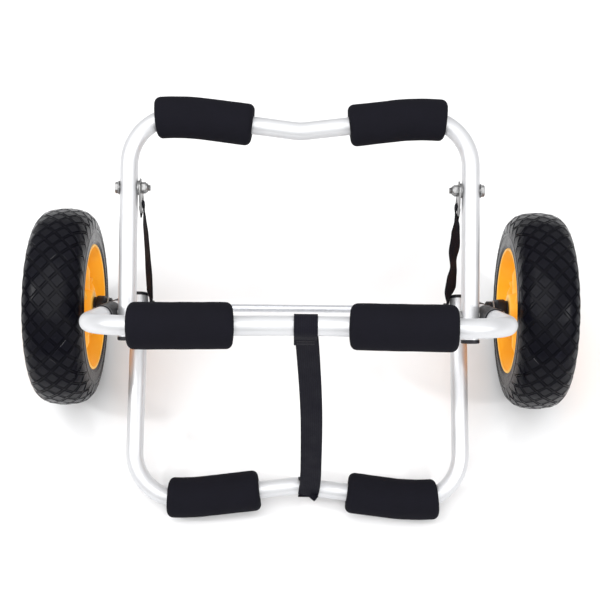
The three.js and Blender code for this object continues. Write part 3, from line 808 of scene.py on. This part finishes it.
def tyre_section(wheel):
    """The tyre's outside from the middle of the tread to the bead, as (across, radius) points."""
    w = wheel.half_width
    r = wheel.radius
    finest = 0.0008
    points = [Vector(point) for point in (
        # Tread
        (0, r), (0.065 * w, r), (0.13 * w, r), (0.38 * w, r - 0.0011), (0.63 * w, r - 0.0040),
        # Shoulder
        (0.82 * w, r - 0.0085), (0.95 * w, r - 0.0160), (w, r - 0.0250),
        # Side wall with its raised line
        (w, r - 0.0290), (w + 0.0006, r - 0.0300), (w + 0.0006, r - 0.0310), (w, r - 0.0320),
        (w, r - 0.0400),
        # Bead
        (w + 0.0004, r - 0.0418), (w - 0.0004, r - 0.0440), (w - 0.0015, wheel.bead_radius),
    )]
    mirrored = Vector((-points[1].x, points[1].y))
    return smooth_line(points, mirrored, points[-1], lambda run: max(2, int(run / finest)))[0]


class CART_OT_tyres(CartStep):
    """Cuts the diamond tread and wraps it over each tyre"""

    bl_idname = "cart.tyres"
    bl_label = "Tyres"

    def execute(self, context):
        wheel = context.scene.cart_wheels
        pattern = self.tyre(wheel)
        for (side, sign), phase in zip(SIDES, (wheel.left_phase, wheel.right_phase)):
            tyre = copy_of(pattern, f"{side}_tyre_tread")
            turn = Matrix.Rotation(-phase * FULL_TURN / wheel.pitches, 4, "X")
            settle(tyre, Matrix.Translation((sign * wheel.middle, AXLE.y, AXLE.z)) @ turn)
            seat(tyre, f"{side}_wheel", f"{side}_tyre", "tyre", 32)
        bpy.data.objects.remove(pattern)
        return {"FINISHED"}

    def tyre(self, wheel):
        """A flat ring of squares that is cut into diamonds, with a thin rib between two grooves
        round each, and is then laid over the tyre's section and closed at the beads."""
        section = tyre_section(wheel)
        limit = 2 * wheel.column  # Where the diamonds end and the shoulder lugs begin
        lug = wheel.shoulder_lug
        wall = run_of(section) - limit - lug
        side_rows = [limit] + [limit + lug + wall * i / 9 for i in range(10)]
        rows = [-v for v in reversed(side_rows)] + [-wheel.column, 0, wheel.column] + side_rows
        base = wheel.radius - wheel.groove_depth
        tyre = turned("tread", [(v, base) for v in rows], steps=wheel.pitches, closed=False)
        edit(tyre)
        select_where(tyre, lambda at, normal: abs(at.x) < limit)
        bpy.ops.mesh.poke()
        select_where(tyre, lambda at, way: abs(at.x) < limit + TOUCHING and is_square(way), "EDGE")
        bpy.ops.mesh.dissolve_edges(use_verts=False)
        grooved = limit + lug * 0.9
        select_where(tyre, lambda at, normal: abs(at.x) < grooved)
        bpy.ops.mesh.inset(thickness=wheel.rib_width / 2, use_individual=True)
        self.raise_ribs(tyre, wheel, grooved)
        floor = base + 0.0002
        select_where(tyre, lambda at, normal: abs(at.x) < grooved and around(at) < floor)
        bpy.ops.mesh.inset(thickness=wheel.groove_width, use_individual=True)
        bpy.ops.mesh.extrude_faces_move(TRANSFORM_OT_shrink_fatten={"value": wheel.groove_depth})
        bpy.ops.mesh.bevel(offset=0.0005, segments=1, affect="EDGES")
        top = wheel.radius - wheel.groove_depth / 2
        select_where(tyre, lambda at, normal: limit + lug > abs(at.x) > limit - wheel.column * 0.3
                     and around(at) > top and abs(normal.x) < 0.2)
        bpy.ops.mesh.poke()
        bpy.ops.mesh.select_all(action="SELECT")
        bpy.ops.mesh.subdivide(number_cuts=2)
        bpy.ops.object.mode_set(mode="OBJECT")
        self.wrap(tyre, section, wheel, limit)
        edit(tyre)
        bpy.ops.mesh.select_all(action="DESELECT")
        bpy.ops.mesh.select_mode(type="EDGE")
        bpy.ops.mesh.select_non_manifold(extend=False, use_wire=False, use_multi_face=False,
                                         use_non_contiguous=False, use_verts=False)
        bpy.ops.mesh.bridge_edge_loops()
        close()
        return tyre

    def raise_ribs(self, tyre, wheel, grooved):
        """Draws the thin ribs out from between the faces that an inset has just left selected."""
        bpy.ops.object.mode_set(mode="OBJECT")
        plots = {part.index for part in tyre.data.polygons if part.select}
        edit(tyre)
        bpy.ops.mesh.select_all(action="DESELECT")
        bpy.ops.object.mode_set(mode="OBJECT")
        for part in tyre.data.polygons:
            part.select = part.index not in plots and abs(part.center.x) < grooved
        bpy.ops.object.mode_set(mode="EDIT")
        rise = {"value": wheel.rib_height}
        bpy.ops.mesh.extrude_region_shrink_fatten(TRANSFORM_OT_shrink_fatten=rise)

    def wrap(self, tyre, section, wheel, limit):
        """Lays the flat ring over the tyre's section: its X becomes the way across the tread,
        and the shoulder lugs run out slanting."""
        slant = FULL_TURN / wheel.pitches * 0.45
        for vertex in tyre.data.vertices:
            at = vertex.co
            point, way = walk(section, abs(at.x))
            side = -1 if at.x < 0 else 1
            outer = min(1, max(0, (abs(at.x) - limit) / wheel.shoulder_lug))
            turn = math.atan2(at.z, at.y) + slant * outer
            height = (around(at) - wheel.radius) * (1 - outer)
            radius = point.y + way.x * height
            across = side * (point.x - way.y * height)
            vertex.co = (across, radius * math.cos(turn), radius * math.sin(turn))


def is_square(way):
    """Whether an edge of the flat tread runs straight along it or straight across it."""
    return abs(way.x) < TOUCHING or around(way) < TOUCHING


class CART_OT_rims(CartStep):
    """Moulds the yellow rims with their spokes, lips and hubs"""

    bl_idname = "cart.rims"
    bl_label = "Rims"

    def execute(self, context):
        wheel = context.scene.cart_wheels
        for side, sign in SIDES:
            parts = [self.shell(wheel, sign)]
            for way in (-1, 1):
                parts += [self.spoke(wheel, sign, way, i) for i in range(wheel.spokes)]
            rim = joined(parts, f"{side}_rim_spoked")
            settle(rim, Matrix.Translation((sign * wheel.middle, AXLE.y, AXLE.z)))
            seat(rim, f"{side}_wheel", f"{side}_rim", "rim", 40)
        return {"FINISHED"}

    def shell(self, wheel, sign):
        """Barrel, web and hub in one; the hub reaches further inwards than outwards."""
        seat_radius = wheel.bead_radius - 0.0004
        edge = wheel.half_width - 0.0015
        web = 0.006
        bore = 0.0103
        reaches = {sign: 0.0217, -sign: 0.035}

        def half(way):
            reach = reaches[way]
            lip = arc((edge - 0.001, seat_radius - 0.0016), 0.0018, 90, -90, 6)
            points = [
                (edge - 0.002, seat_radius), *lip,
                # Barrel
                (edge - 0.004, seat_radius - 0.0040), (edge - 0.007, seat_radius - 0.0062),
                (web + 0.004, seat_radius - 0.0085), (web + 0.001, seat_radius - 0.0105),
                # Web
                (web, seat_radius - 0.0135), (web, 0.033), (web + 0.0015, 0.0285),
                (web + 0.005, 0.0262),
                # Hub
                (reach - 0.002, 0.0212), (reach - 0.0004, 0.0206), (reach, 0.0192),
                (reach, bore + 0.001), (reach - 0.0008, bore),
            ]
            return [(way * along, radius) for along, radius in points]

        return turned("shell", half(1) + list(reversed(half(-1))), steps=96)

    def spoke(self, wheel, sign, way, number):
        """One spoke: a block drawn out from the hub to the barrel, narrower and lower outwards."""
        low = 0.005
        top = 0.0285 if way != sign else 0.0195
        shoulder = 0.006
        root = 0.024  # Radius of the first block's middle
        drop_from = 0.06
        drop = 0.3
        deselect()
        bpy.ops.mesh.primitive_cube_add(size=1)
        spoke = name_last("spoke")
        spoke.scale = (top - shoulder - low, 0.009, 0.014)
        spoke.location = (way * (top - shoulder + low) / 2, 0, root)
        settle(spoke)
        edit(spoke)
        select_where(spoke, lambda at, normal: normal.z > 0.9)
        for run, narrow in ((0.016, 0.82), (0.018, 0.9), (0.0125, 1.25)):
            bpy.ops.mesh.extrude_region_move(TRANSFORM_OT_translate={"value": (0, 0, run)})
            bpy.ops.transform.resize(value=(1, narrow, 1))
        select_where(spoke, lambda at, normal: way * normal.x > 0.9)
        bpy.ops.mesh.extrude_region_move(TRANSFORM_OT_translate={"value": (way * shoulder, 0, 0)})
        bpy.ops.transform.resize(value=(1, 0.5, 1))
        select_where(spoke, lambda at, normal: way * at.x > low * 2 and at.z > drop_from, "VERT")
        bpy.ops.transform.translate(value=(-way * drop * (top - low), 0, 0))
        bpy.ops.mesh.select_all(action="SELECT")
        bpy.ops.mesh.bevel(offset=0.0011, segments=2, affect="EDGES")
        close()
        turn = FULL_TURN * number / wheel.spokes + wheel.spoke_turn
        return settle(spoke, Matrix.Rotation(turn, 4, "X"))


def node_span(node, sign=1):
    """Where a node begins and ends along X, from the frames' middle; a sign of -1 swaps them."""
    low, high = (corner.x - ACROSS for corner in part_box(node))
    return (low, high) if sign > 0 else (high, low)


class CART_OT_axle(CartStep):
    """Turns the axle, its washers, spacers, bushes and caps"""

    bl_idname = "cart.axle"
    bl_label = "Axle parts"

    def execute(self, context):
        self.rod()
        for side, sign in SIDES:
            self.plain_rings(side)
            self.spacer(side, sign)
            self.bushes(side, sign)
            self.cap(side, sign)
        return {"FINISHED"}

    def put(self, piece, body, node, kind):
        settle(piece, Matrix.Translation(PLACE_MAIN))
        seat(piece, body, node, kind)

    def rod(self):
        low, high = node_span("axle")
        outline = profile(low, 1, (0, 0), (0, 4.2), (0.8, 5))
        outline += profile(high, 1, (-0.8, 5), (0, 4.2), (0, 0))
        self.put(turned("axle_rod", outline, steps=40, closed=False), "main", "axle", "axle")

    def plain_rings(self, side):
        bore = 0.0052
        rings = (
            ("leg_bush", 0.012, 0.0010, "plastic"),
            ("axle_washer", 0.013, 0.0004, "steel"),
            ("outer_washer", 0.013, 0.0004, "steel"),
            ("strap_retainer", 0.009, 0.0008, "plastic"),
        )
        for part, outer, edge, kind in rings:
            node = f"{side}_{part}"
            ring = chamfered(f"{node}_turned", *node_span(node), bore, outer, edge)
            self.put(ring, "main", node, kind)

    def spacer(self, side, sign):
        """A stepped spacer, wider towards the wheel."""
        node = f"{side}_wheel_spacer"
        start, end = node_span(node, sign)
        outline = profile(start, sign, (0, 5.2), (0, 11.8), (1, 12.8), (3, 13.2), (4, 14.4))
        outline += profile(end, sign, (-3, 14.9), (-1, 14.5), (0, 13.4), (0, 5.2))
        self.put(turned(f"{node}_turned", outline), "main", node, "plastic")

    def bushes(self, side, sign):
        """The hub's two bushes, each with its flange on the hub's face."""
        for which, way in (("inner", -sign), ("outer", sign)):
            node = f"{side}_{which}_hub_bush"
            end, face = node_span(node, way)
            outline = profile(end, way, (0, 5.3), (0, 9.2), (0.8, 10))
            outline += profile(face, way, (-3, 10), (-3, 13), (-0.6, 13), (0, 12.4), (0, 5.3))
            self.put(turned(f"{node}_turned", outline), f"{side}_wheel", node, "plastic")

    def cap(self, side, sign):
        """A push-on cap with a domed end."""
        node = f"{side}_axle_cap"
        start, end = node_span(node, sign)
        turns = (0, 0.35, 0.7, 1.05, 1.4)
        dome = [(-3.8 * (1 - math.sin(turn)), 4.6 + 3.6 * math.cos(turn)) for turn in turns]
        outline = profile(start, sign, (0, 5.4), (0, 9), (1.4, 9), (1.8, 8.4))
        outline += profile(end, sign, *dome, (0, 0), (-2.1, 0), (-2.1, 5.4))
        self.put(turned(f"{node}_turned", outline, steps=40), "main", node, "plastic")


class CART_OT_leg_ends(CartStep):
    """Makes the plug caps, the boots and the ribbed grips on the legs"""

    bl_idname = "cart.leg_ends"
    bl_label = "Caps, boots and grips"

    def execute(self, context):
        sizes = context.scene.cart_frames
        for which in FRAMES[1:]:
            line = frame_line(which)
            for side, sign in SIDES:
                plug = self.plug(-line.stub, sizes)
                self.put(f"{which}_plug_{side}", plug, line, sign, which, f"{which}_leg_cap_{side}")
        line = frame_line("main")
        boot = self.boot(-line.stub - SLIP, sizes.tube_radius)
        grip = self.grip(sizes.tube_radius)
        for side, sign in SIDES:
            self.put(f"main_boot_{side}", boot, line, sign, "main", f"main_leg_boot_{side}")
            self.put(f"{side}_grip_ribbed", grip, line, sign, "main", f"{side}_leg_grip")
        return {"FINISHED"}

    def put(self, name, outline, line, sign, body, node):
        """Turns a piece on a leg from (distance from the pivot, radius) points."""
        on_leg = [(line.along_leg(sign, along), radius) for along, radius in outline]
        seat(line.bend(turned(name, on_leg, steps=40)), body, node, "plastic")

    def plug(self, end, sizes):
        """A stem inside the tube and a low head over its end."""
        outer = sizes.tube_radius
        inner = outer - sizes.tube_wall - SLIP
        head = ((-0.3, 0.1), (1.2, 0.1), (1.2, 0.4), (-2.2, 0.4), (-3.2, -0.7))
        return [*profile(end, 1, (7, 0)),
                *profile(end, 1, (7, -0.8), (6, 0), (-0.3, 0), base=inner),
                *profile(end, 1, *head, base=outer),
                *profile(end, 1, (-3.6, 0), base=outer * 0.55),
                *profile(end, 1, (-3.6, 0))]

    def boot(self, end, tube):
        """A thin boot over the leg's end, with a groove behind its rim."""
        rim = 0.042
        groove = ((-4, 1.3), (-4.5, 0.9), (-5.5, 0.9), (-6, 1.3))
        return [*profile(end, 1, (0, 0)),
                *profile(end, 1, (0, 0.2), base=tube),
                *profile(rim, 1, (0, 0.2), (0, 1), (-0.8, 1.3), *groove, base=tube),
                *profile(end, 1, (-1.8, 1.3), (-3, 0.1), base=tube),
                *profile(end, 1, (-3, 0))]

    def grip(self, tube):
        """A sleeve whose thin grooves leave ribs between them."""
        low, high = 0.085, 0.160
        groove = ((0, 1.6), (0.5, 0.7), (1.6, 0.7), (2.1, 1.6))
        starts = [low + 0.003 + i * 0.0045 for i in range(15)]
        return [*profile(low, 1, (0, 0.2), (0, 1.6), base=tube),
                *(point for start in starts for point in profile(start, 1, *groove, base=tube)),
                *profile(high, 1, (-0.5, 1.6), (0, 1.1), (0, 0.2), base=tube)]


def hexagon(low, high, flats):
    """A hexagon along X with a turned chamfer at its high end."""
    corner = flats / math.sqrt(3)
    way = math.copysign(1, high - low)
    deselect()
    bpy.ops.mesh.primitive_cylinder_add(vertices=6, radius=corner, depth=abs(high - low),
                                        location=((low + high) / 2, 0, 0),
                                        rotation=(0, math.pi / 2, 0))
    nut = settle(name_last("hexagon"))
    behind = low - way * 0.001
    chamfer = turned("chamfer", [
        (behind, 0), (behind, corner * 1.2), (high - way * 0.0016, corner * 1.2),
        (high, flats / 2 * 0.97), (high, 0),
    ], closed=False)
    cut(nut, chamfer, "INTERSECT")
    soften_edges(nut, 0.0003, 40)
    return nut


class CART_OT_fasteners(CartStep):
    """Makes the pivot bolts, strap bolts, their washers, nuts and the steel tabs"""

    bl_idname = "cart.fasteners"
    bl_label = "Bolts, nuts and tabs"

    flats = 0.0125  # Across the flats of every head and nut

    def execute(self, context):
        sizes = context.scene.cart_frames
        self.bolts("pivot", "main", sizes.kick_along)
        self.bolts("strap", "kickstand", sizes.strap_bolt_along)
        for side, sign in SIDES:
            self.tab(f"{side}_strap_tab", sizes)
        return {"FINISHED"}

    def bolts(self, kind, body, along):
        put = frame_line(body).matrix @ Matrix.Translation((0, along, 0))
        for side, sign in SIDES:
            bolt, nut, washer = (f"{side}_{kind}_{part}" for part in ("bolt", "nut", "washer"))
            parts = {bolt: self.bolt(bolt, sign), nut: self.nut(nut, sign)}
            if kind == "strap":
                parts[washer] = chamfered("washer", *node_span(washer), 0.0042, 0.009, 0.0003)
            for node, piece in parts.items():
                piece.name = f"{node}_made"
                settle(piece, put)
                seat(piece, body, node, "steel", 30)

    def bolt(self, node, sign):
        """A hexagon head on a flange, a shank and a thread of sharp rings."""
        tip, head = node_span(node, sign)
        face = head - sign * 0.0053
        cap = hexagon(face + sign * 0.0012, head, self.flats)
        rounded = ((0, 3), (0, 8.2), (0.3, 8.5), (1, 8.5), (1.3, 8.2), (1.3, 3))
        flange = turned("flange", profile(face, sign, *rounded), steps=40)
        outline = profile(face, sign, (2, 0), (2, 4)) + profile(tip, sign, (11, 4))
        for i in range(12):
            crest = 10.76 - 0.8 * i
            outline += profile(tip, sign, (crest, 4), (crest - 0.4, 3.45))
        outline += profile(tip, sign, (0.8, 4), (0, 3.2), (0, 0))
        shank = turned("shank", outline, steps=28, closed=False)
        return joined([cap, flange, shank], "bolt")

    def nut(self, node, sign):
        """A hexagon nut with the collar that locks it."""
        end, face = node_span(node, sign)
        hexed = hexagon(face, face - sign * 0.0058, self.flats)
        outline = profile(face, sign, (-5, 4.1), (-5, 6), (-6.8, 5.8))
        outline += profile(end, sign, (0.5, 5.2), (0, 4.6), (0, 4.1))
        return joined([hexed, turned("collar", outline, steps=36)], "nut")

    def tab(self, node, sizes):
        """The flat tab: the node's own shape, drawn out below the bolt, its edges rolled off."""
        tab = copy_of(frame["nodes"][node], f"{node}_rolled")
        tab.parent = None
        for key in [key for key in tab.keys() if key.startswith("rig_")]:
            del tab[key]
        tab.hide_render = False
        edit(tab)
        merge()
        bpy.ops.mesh.dissolve_limited(angle_limit=math.radians(2))
        bpy.ops.object.mode_set(mode="OBJECT")
        bolt = frame_line("kickstand").matrix @ Vector((0, sizes.strap_bolt_along, 0))
        down = AXLE - bolt
        down.x = 0
        down.normalize()
        start = 0.006
        stretch = 0.27
        for vertex in tab.data.vertices:
            below = (vertex.co - bolt).dot(down) - start
            if below > 0:
                vertex.co += down * below * stretch
        soften_edges(tab, 0.0004, 30)
        seat(tab, "kickstand", node, "steel", 30)


def value_at(values, mark):
    """A value between two neighbours of a list, eased from one to the other."""
    i = min(int(mark), len(values) - 2)
    part = mark - i
    return values[i] + (values[i + 1] - values[i]) * part * part * (3 - 2 * part)


def ribbon(name, points, twists, width, thickness, matrix, gather=None):
    """A strap along a nearly flat line of (down, out, aside) points, turned about the line by each
    twist. gather gives the strap's share of its width at each point."""
    step = 0.0015
    cell = 0.0022  # Length of a face
    weave_row = 0.0016  # Length of a row of the weave
    places = [Vector(point) for point in points]
    line, marks = smooth_line(places, 2 * places[0] - places[1], 2 * places[-1] - places[-2],
                              lambda run: max(1, round(run / step)))
    tilts = [value_at(twists, mark) for mark in marks]
    run = run_of(line)
    deselect()
    bpy.ops.mesh.primitive_grid_add(x_subdivisions=int(run / cell), y_subdivisions=8, size=1,
                                    calc_uvs=True)
    strap = name_last(name)
    strap.scale = (run, width, 1)
    strap.location = (run / 2, 0, 0)
    settle(strap)
    settle(strap, Matrix.Rotation(math.pi / 2, 4, "X"))
    if gather:
        last = len(marks) - 1
        for vertex in strap.data.vertices:
            near = min(last, max(0, round(vertex.co.x / run * last)))
            vertex.co.z *= value_at(gather, marks[near])
    bend_along(strap, line, tilts)
    modify(strap, "SOLIDIFY", thickness=thickness, offset=0)
    for corner in strap.data.uv_layers.active.data:
        along, across = corner.uv
        corner.uv = (across, along * run / weave_row)
    settle(strap, matrix)
    return strap, run


def strap_matrix(origin, down, out):
    """Places a strap's (down, out, aside) axes in the cart."""
    return Matrix.Translation(origin) @ Matrix((down, out, down.cross(out))).transposed().to_4x4()


def sewn(name, places, matrix):
    """A seam of short thread stitches at (down, out, aside) places on a strap."""
    pieces = []
    for place in places:
        deselect()
        bpy.ops.mesh.primitive_uv_sphere_add(segments=10, ring_count=6, radius=1)
        stitch = name_last("stitch")
        stitch.scale = (0.0004, 0.0003, 0.0013)
        settle(stitch)
        pieces.append(settle(stitch, Matrix.Translation(place)))
    seam = settle(joined(pieces, name), matrix)
    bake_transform(seam)
    finish(seam, "thread", 60)
    return seam


class CART_OT_centre_strap(CartStep):
    """Sews the strap between the main crossbar and the lower crossbar"""

    bl_idname = "cart.centre_strap"
    bl_label = "Centre strap"

    hang = -0.0030  # How far behind the line between the crossbars' middles the strap hangs
    step = 12  # Degrees between two points round a crossbar

    def execute(self, context):
        straps = context.scene.cart_straps
        upper = self.bar(frame_line("main"), straps.upper_shift)
        lower = self.bar(frame_line("lower_bunk"), straps.lower_shift)
        down = lower - upper
        down.x = 0
        span = down.length
        down.normalize()
        out = Vector((1, 0, 0)).cross(down)
        if out.y > 0:
            out = -out
        matrix = strap_matrix(upper, down, out)
        aside = matrix.col[2].x
        loop = context.scene.cart_frames.tube_radius + SLIP + straps.thickness / 2
        points = self.route(span, loop, straps, aside)
        strap, run = ribbon("centre_strap_webbing", points, [0] * len(points), straps.centre_width,
                            straps.thickness, matrix)
        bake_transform(strap)
        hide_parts("centre_strap")
        finish(strap, "webbing", 50)
        seam = sewn("centre_strap_seam", self.stitches(straps), matrix)
        return {"FINISHED"}

    def bar(self, line, across):
        """Where a crossbar runs, at a distance across from the middle."""
        before = max((p for p in line.points if p.x < across and p.y > 0.1), key=lambda p: p.x)
        after = min((p for p in line.points if p.x >= across), key=lambda p: p.x)
        return line.matrix @ before.lerp(after, (across - before.x) / (after.x - before.x))

    def route(self, span, loop, straps, aside):
        """The strap's (down, out, aside) points, from its sewn upper end to its tucked end."""
        hang = self.hang
        lap = hang + straps.thickness * 1.1
        end = straps.lower_shift - straps.upper_shift + 0.0013

        def round_bar(bar, degrees, shift):
            turns = [math.radians(value) for value in degrees]
            return [(bar - loop * math.sin(turn), loop * math.cos(turn), shift) for turn in turns]

        # The upper end's lap and the turn round the main crossbar
        points = [(0.0340, lap, 0), (0.0290, lap, 0), (0.0240, lap + 0.0002, 0),
                  (0.0170, 0.0036, 0)]
        points += round_bar(0, range(-28, 209, self.step), 0)
        # Down behind the lap and along the free length, which drifts aside
        points += [(0.0165, -0.0074, 0.0006 * aside), (0.0240, hang - 0.0006, 0.0012 * aside),
                   (0.0340, hang, 0.0020 * aside)]
        for part, shift in ((0.22, 0.0042), (0.36, 0.0066), (0.5, 0.0082), (0.64, 0.0088),
                            (0.78, 0.0089), (0.90, 0.0086)):
            out = hang + (loop - hang) * (part - 0.09) / 0.85
            points.append((span * part, out, shift * aside))
        # The turn round the lower crossbar and its tucked end
        points += round_bar(span, range(6, -205, -self.step), end * aside)
        points += [(span - 0.0150, -0.0040, end * aside),
                   (span - 0.0240, 0.0052, (end + 0.0012) * aside),
                   (span - 0.0320, 0.0080, 0.0085 * aside),
                   (span - 0.0420, 0.0076, 0.0087 * aside)]
        return points

    def stitches(self, straps):
        """Two rows of stitches across the strap's upper lap."""
        count = 8
        front = self.hang + straps.thickness * 1.6
        half = straps.centre_width / 2 - 0.0030
        return [(row, front, -half + 2 * half * (k + 0.5) / count)
                for row in (0.0275, 0.0315) for k in range(count)]


class CART_OT_side_straps(CartStep):
    """Hangs the two straps, one of them wavy, between the tabs and the axle"""

    bl_idname = "cart.side_straps"
    bl_label = "Side straps"

    # Each strap's course: share of the way down, shift inwards, turn in degrees
    courses = {
        "left": ((0.08, 0.0023, 14), (0.25, 0.0022, 22), (0.45, 0.0021, 24), (0.65, 0.0017, 28),
                 (0.85, 0.0008, 26), (0.94, 0.0003, 8)),
        "right": ((0.08, 0.0014, 10), (0.22, -0.0004, 34), (0.38, -0.0012, 46), (0.53, -0.0018, 26),
                  (0.66, -0.0014, 42), (0.78, -0.0012, 48), (0.92, -0.0010, 12)),
    }
    face = 0.0023  # How far the loop's two layers stand from the tab's middle
    eye = 0.0054  # Radius of the eye on the axle

    def execute(self, context):
        straps = context.scene.cart_straps
        line = frame_line("kickstand")
        bolt = line.matrix @ Vector((0, context.scene.cart_frames.strap_bolt_along, 0))
        for side, sign in SIDES:
            low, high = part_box(f"{side}_strap_tab")
            bolt.x = (low.x + high.x) / 2
            self.strap(side, sign, straps, bolt, Vector((bolt.x, AXLE.y, AXLE.z)))
        return {"FINISHED"}

    def strap(self, side, sign, straps, bolt, axle):
        down = (axle - bolt).normalized()
        bar = bolt + down * straps.slot_bar
        matrix = strap_matrix(bar, down, Vector((-sign, 0, 0)))
        span = (axle - bar).length
        # The gathered loop round the tab's bar, the free length and the eye on the axle
        points = [(0.0150, -0.0014, 0), (0.0100, -0.0017, 0), (0.0050, -0.0021, 0),
                  (0, -self.face, 0), (-0.0024, -0.0019, 0), (-0.0036, 0, 0),
                  (-0.0024, 0.0019, 0), (0, self.face, 0), (0.0050, self.face, 0)]
        twists = [0] * len(points)
        for part, shift, degrees in self.courses[side]:
            points.append((span * part, shift, 0))
            twists.append(sign * math.radians(degrees))
        points += [(span - 0.004, 0, 0), (span + 0.004, 0, 0), (span + 0.0105, 0, 0)]
        twists += [0, 0, 0]
        gather = [0.62, 0.58, 0.52, 0.5, 0.5, 0.5, 0.5, 0.5, 0.55, 0.8]
        gather += [1] * (len(points) - len(gather))
        strap, run = ribbon(f"{side}_side_webbing", points, twists, straps.side_width,
                            straps.thickness, matrix, gather)
        deselect()
        bpy.ops.mesh.primitive_cylinder_add(vertices=40, radius=self.eye, depth=0.02, location=axle,
                                            rotation=(0, math.pi / 2, 0))
        cut(strap, name_last("eye"), "DIFFERENCE")
        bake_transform(strap)
        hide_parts(f"{side}_side_strap")
        finish(strap, "webbing", 50)
        top = -self.face - straps.thickness / 2 + 0.0008
        places = [(row, top, across) for row in (0.0085, 0.0125) for across in (-0.004, 0, 0.004)]
        seam = sewn(f"{side}_side_seam", places, matrix)


class CART_OT_stage(CartStep):
    """Lays the floor, hangs the lights and sets the camera"""

    bl_idname = "cart.stage"
    bl_label = "Studio"

    def execute(self, context):
        stage = context.scene.cart_stage
        deselect()
        bpy.ops.mesh.primitive_plane_add(size=16)
        floor = name_last("studio_floor")
        finish(floor, "floor")
        self.camera(context.scene, stage)
        self.lights(context.scene, stage)
        world = bpy.data.worlds.new("Studio light")
        world.use_nodes = True
        self.sky(world.node_tree, stage)
        context.scene.world = world
        context.scene.view_settings.view_transform = "Standard"
        return {"FINISHED"}

    def sky(self, tree, stage):
        """Even light from above that falls off towards the horizon, as in a light tent."""
        way = placed(tree, "TexCoord", {})
        height = placed(tree, "SeparateXYZ", {0: way["Object"]})["Z"]
        rise = placed(tree, "MapRange", {"Value": height, "From Min": 0.05, "From Max": 0.75})
        colour = mixed(tree, rise["Result"], [stage.horizon] * 3, (1, 1, 1))
        feed(tree, tree.nodes["Background"], {"Color": colour, "Strength": stage.daylight})

    def camera(self, scene, stage):
        look = Vector((0, math.cos(stage.tilt), -math.sin(stage.tilt)))
        right = Vector((1, 0, 0))
        up = right.cross(look)
        right, up = (right * math.cos(stage.roll) + up * math.sin(stage.roll),
                     up * math.cos(stage.roll) - right * math.sin(stage.roll))
        aim = PLACE_MAIN + Vector((stage.aim_across, 0, stage.aim_up))
        place = aim - look * stage.distance
        rows = [(right[i], up[i], -look[i], place[i]) for i in range(3)]
        data = bpy.data.cameras.new("Camera")
        data.sensor_width = 36
        data.lens = stage.lens
        data.clip_end = 50
        camera = bpy.data.objects.new("Camera", data)
        scene.collection.objects.link(camera)
        camera.matrix_world = Matrix((*rows, (0, 0, 0, 1)))
        scene.camera = camera

    def lights(self, scene, stage):
        # Each lamp's name, power, size, place and what it points at
        lamps = (
            ("Key", stage.key, 2.2, (-0.5, -0.6, 2.2), (0, 0, 0.1)),
            ("Fill", stage.fill, 1.6, (1.4, -1.6, 1.3), (0, 0, 0.15)),
            ("Left", stage.side, 0.22, (-2.0, -0.55, 1.70), (-0.3, 0, 0.13)),
            ("Right", stage.side, 0.22, (1.9, -1.17, 1.60), (0.3, 0, 0.13)),
        )
        for name, power, size, place, aim in lamps:
            data = bpy.data.lights.new(name, "AREA")
            data.energy = power
            data.size = size
            lamp = bpy.data.objects.new(name, data)
            scene.collection.objects.link(lamp)
            lamp.location = place
            lamp.rotation_euler = (Vector(aim) - Vector(place)).to_track_quat("-Z", "Y").to_euler()


STEPS = (
    CART_OT_stage,
    CART_OT_frames,
    CART_OT_pads,
    CART_OT_tyres,
    CART_OT_rims,
    CART_OT_axle,
    CART_OT_leg_ends,
    CART_OT_fasteners,
    CART_OT_centre_strap,
    CART_OT_side_straps,
)
GROUPS = (
    ("cart_frames", CartFrameSizes),
    ("cart_pads", CartPadSizes),
    ("cart_wheels", CartWheelSizes),
    ("cart_straps", CartStrapSizes),
    ("cart_colours", CartColours),
    ("cart_stage", CartStage),
)


class CART_PT_panel(bpy.types.Panel):
    """Lists the cart's sizes and the steps that build it"""

    bl_idname = "CART_PT_panel"
    bl_label = "Kayak cart"
    bl_space_type = "VIEW_3D"
    bl_region_type = "UI"
    bl_category = "Kayak cart"

    def draw(self, context):
        for name, kind in GROUPS:
            box = self.layout.box()
            box.label(text=name.replace("cart_", "").capitalize())
            group = getattr(context.scene, name)
            for key in kind.__annotations__:
                box.prop(group, key)
        for step in STEPS:
            self.layout.operator(step.bl_idname)


def register():
    for name, kind in GROUPS:
        bpy.utils.register_class(kind)
        setattr(bpy.types.Scene, name, PointerProperty(type=kind))
    for step in STEPS:
        bpy.utils.register_class(step)
    bpy.utils.register_class(CART_PT_panel)


def unregister():
    bpy.utils.unregister_class(CART_PT_panel)
    for step in reversed(STEPS):
        bpy.utils.unregister_class(step)
    for name, kind in reversed(GROUPS):
        delattr(bpy.types.Scene, name)
        bpy.utils.unregister_class(kind)


def main():
    register()
    for step in STEPS:
        group, name = step.bl_idname.split(".")
        getattr(getattr(bpy.ops, group), name)()


if __name__ == "__main__":
    main()
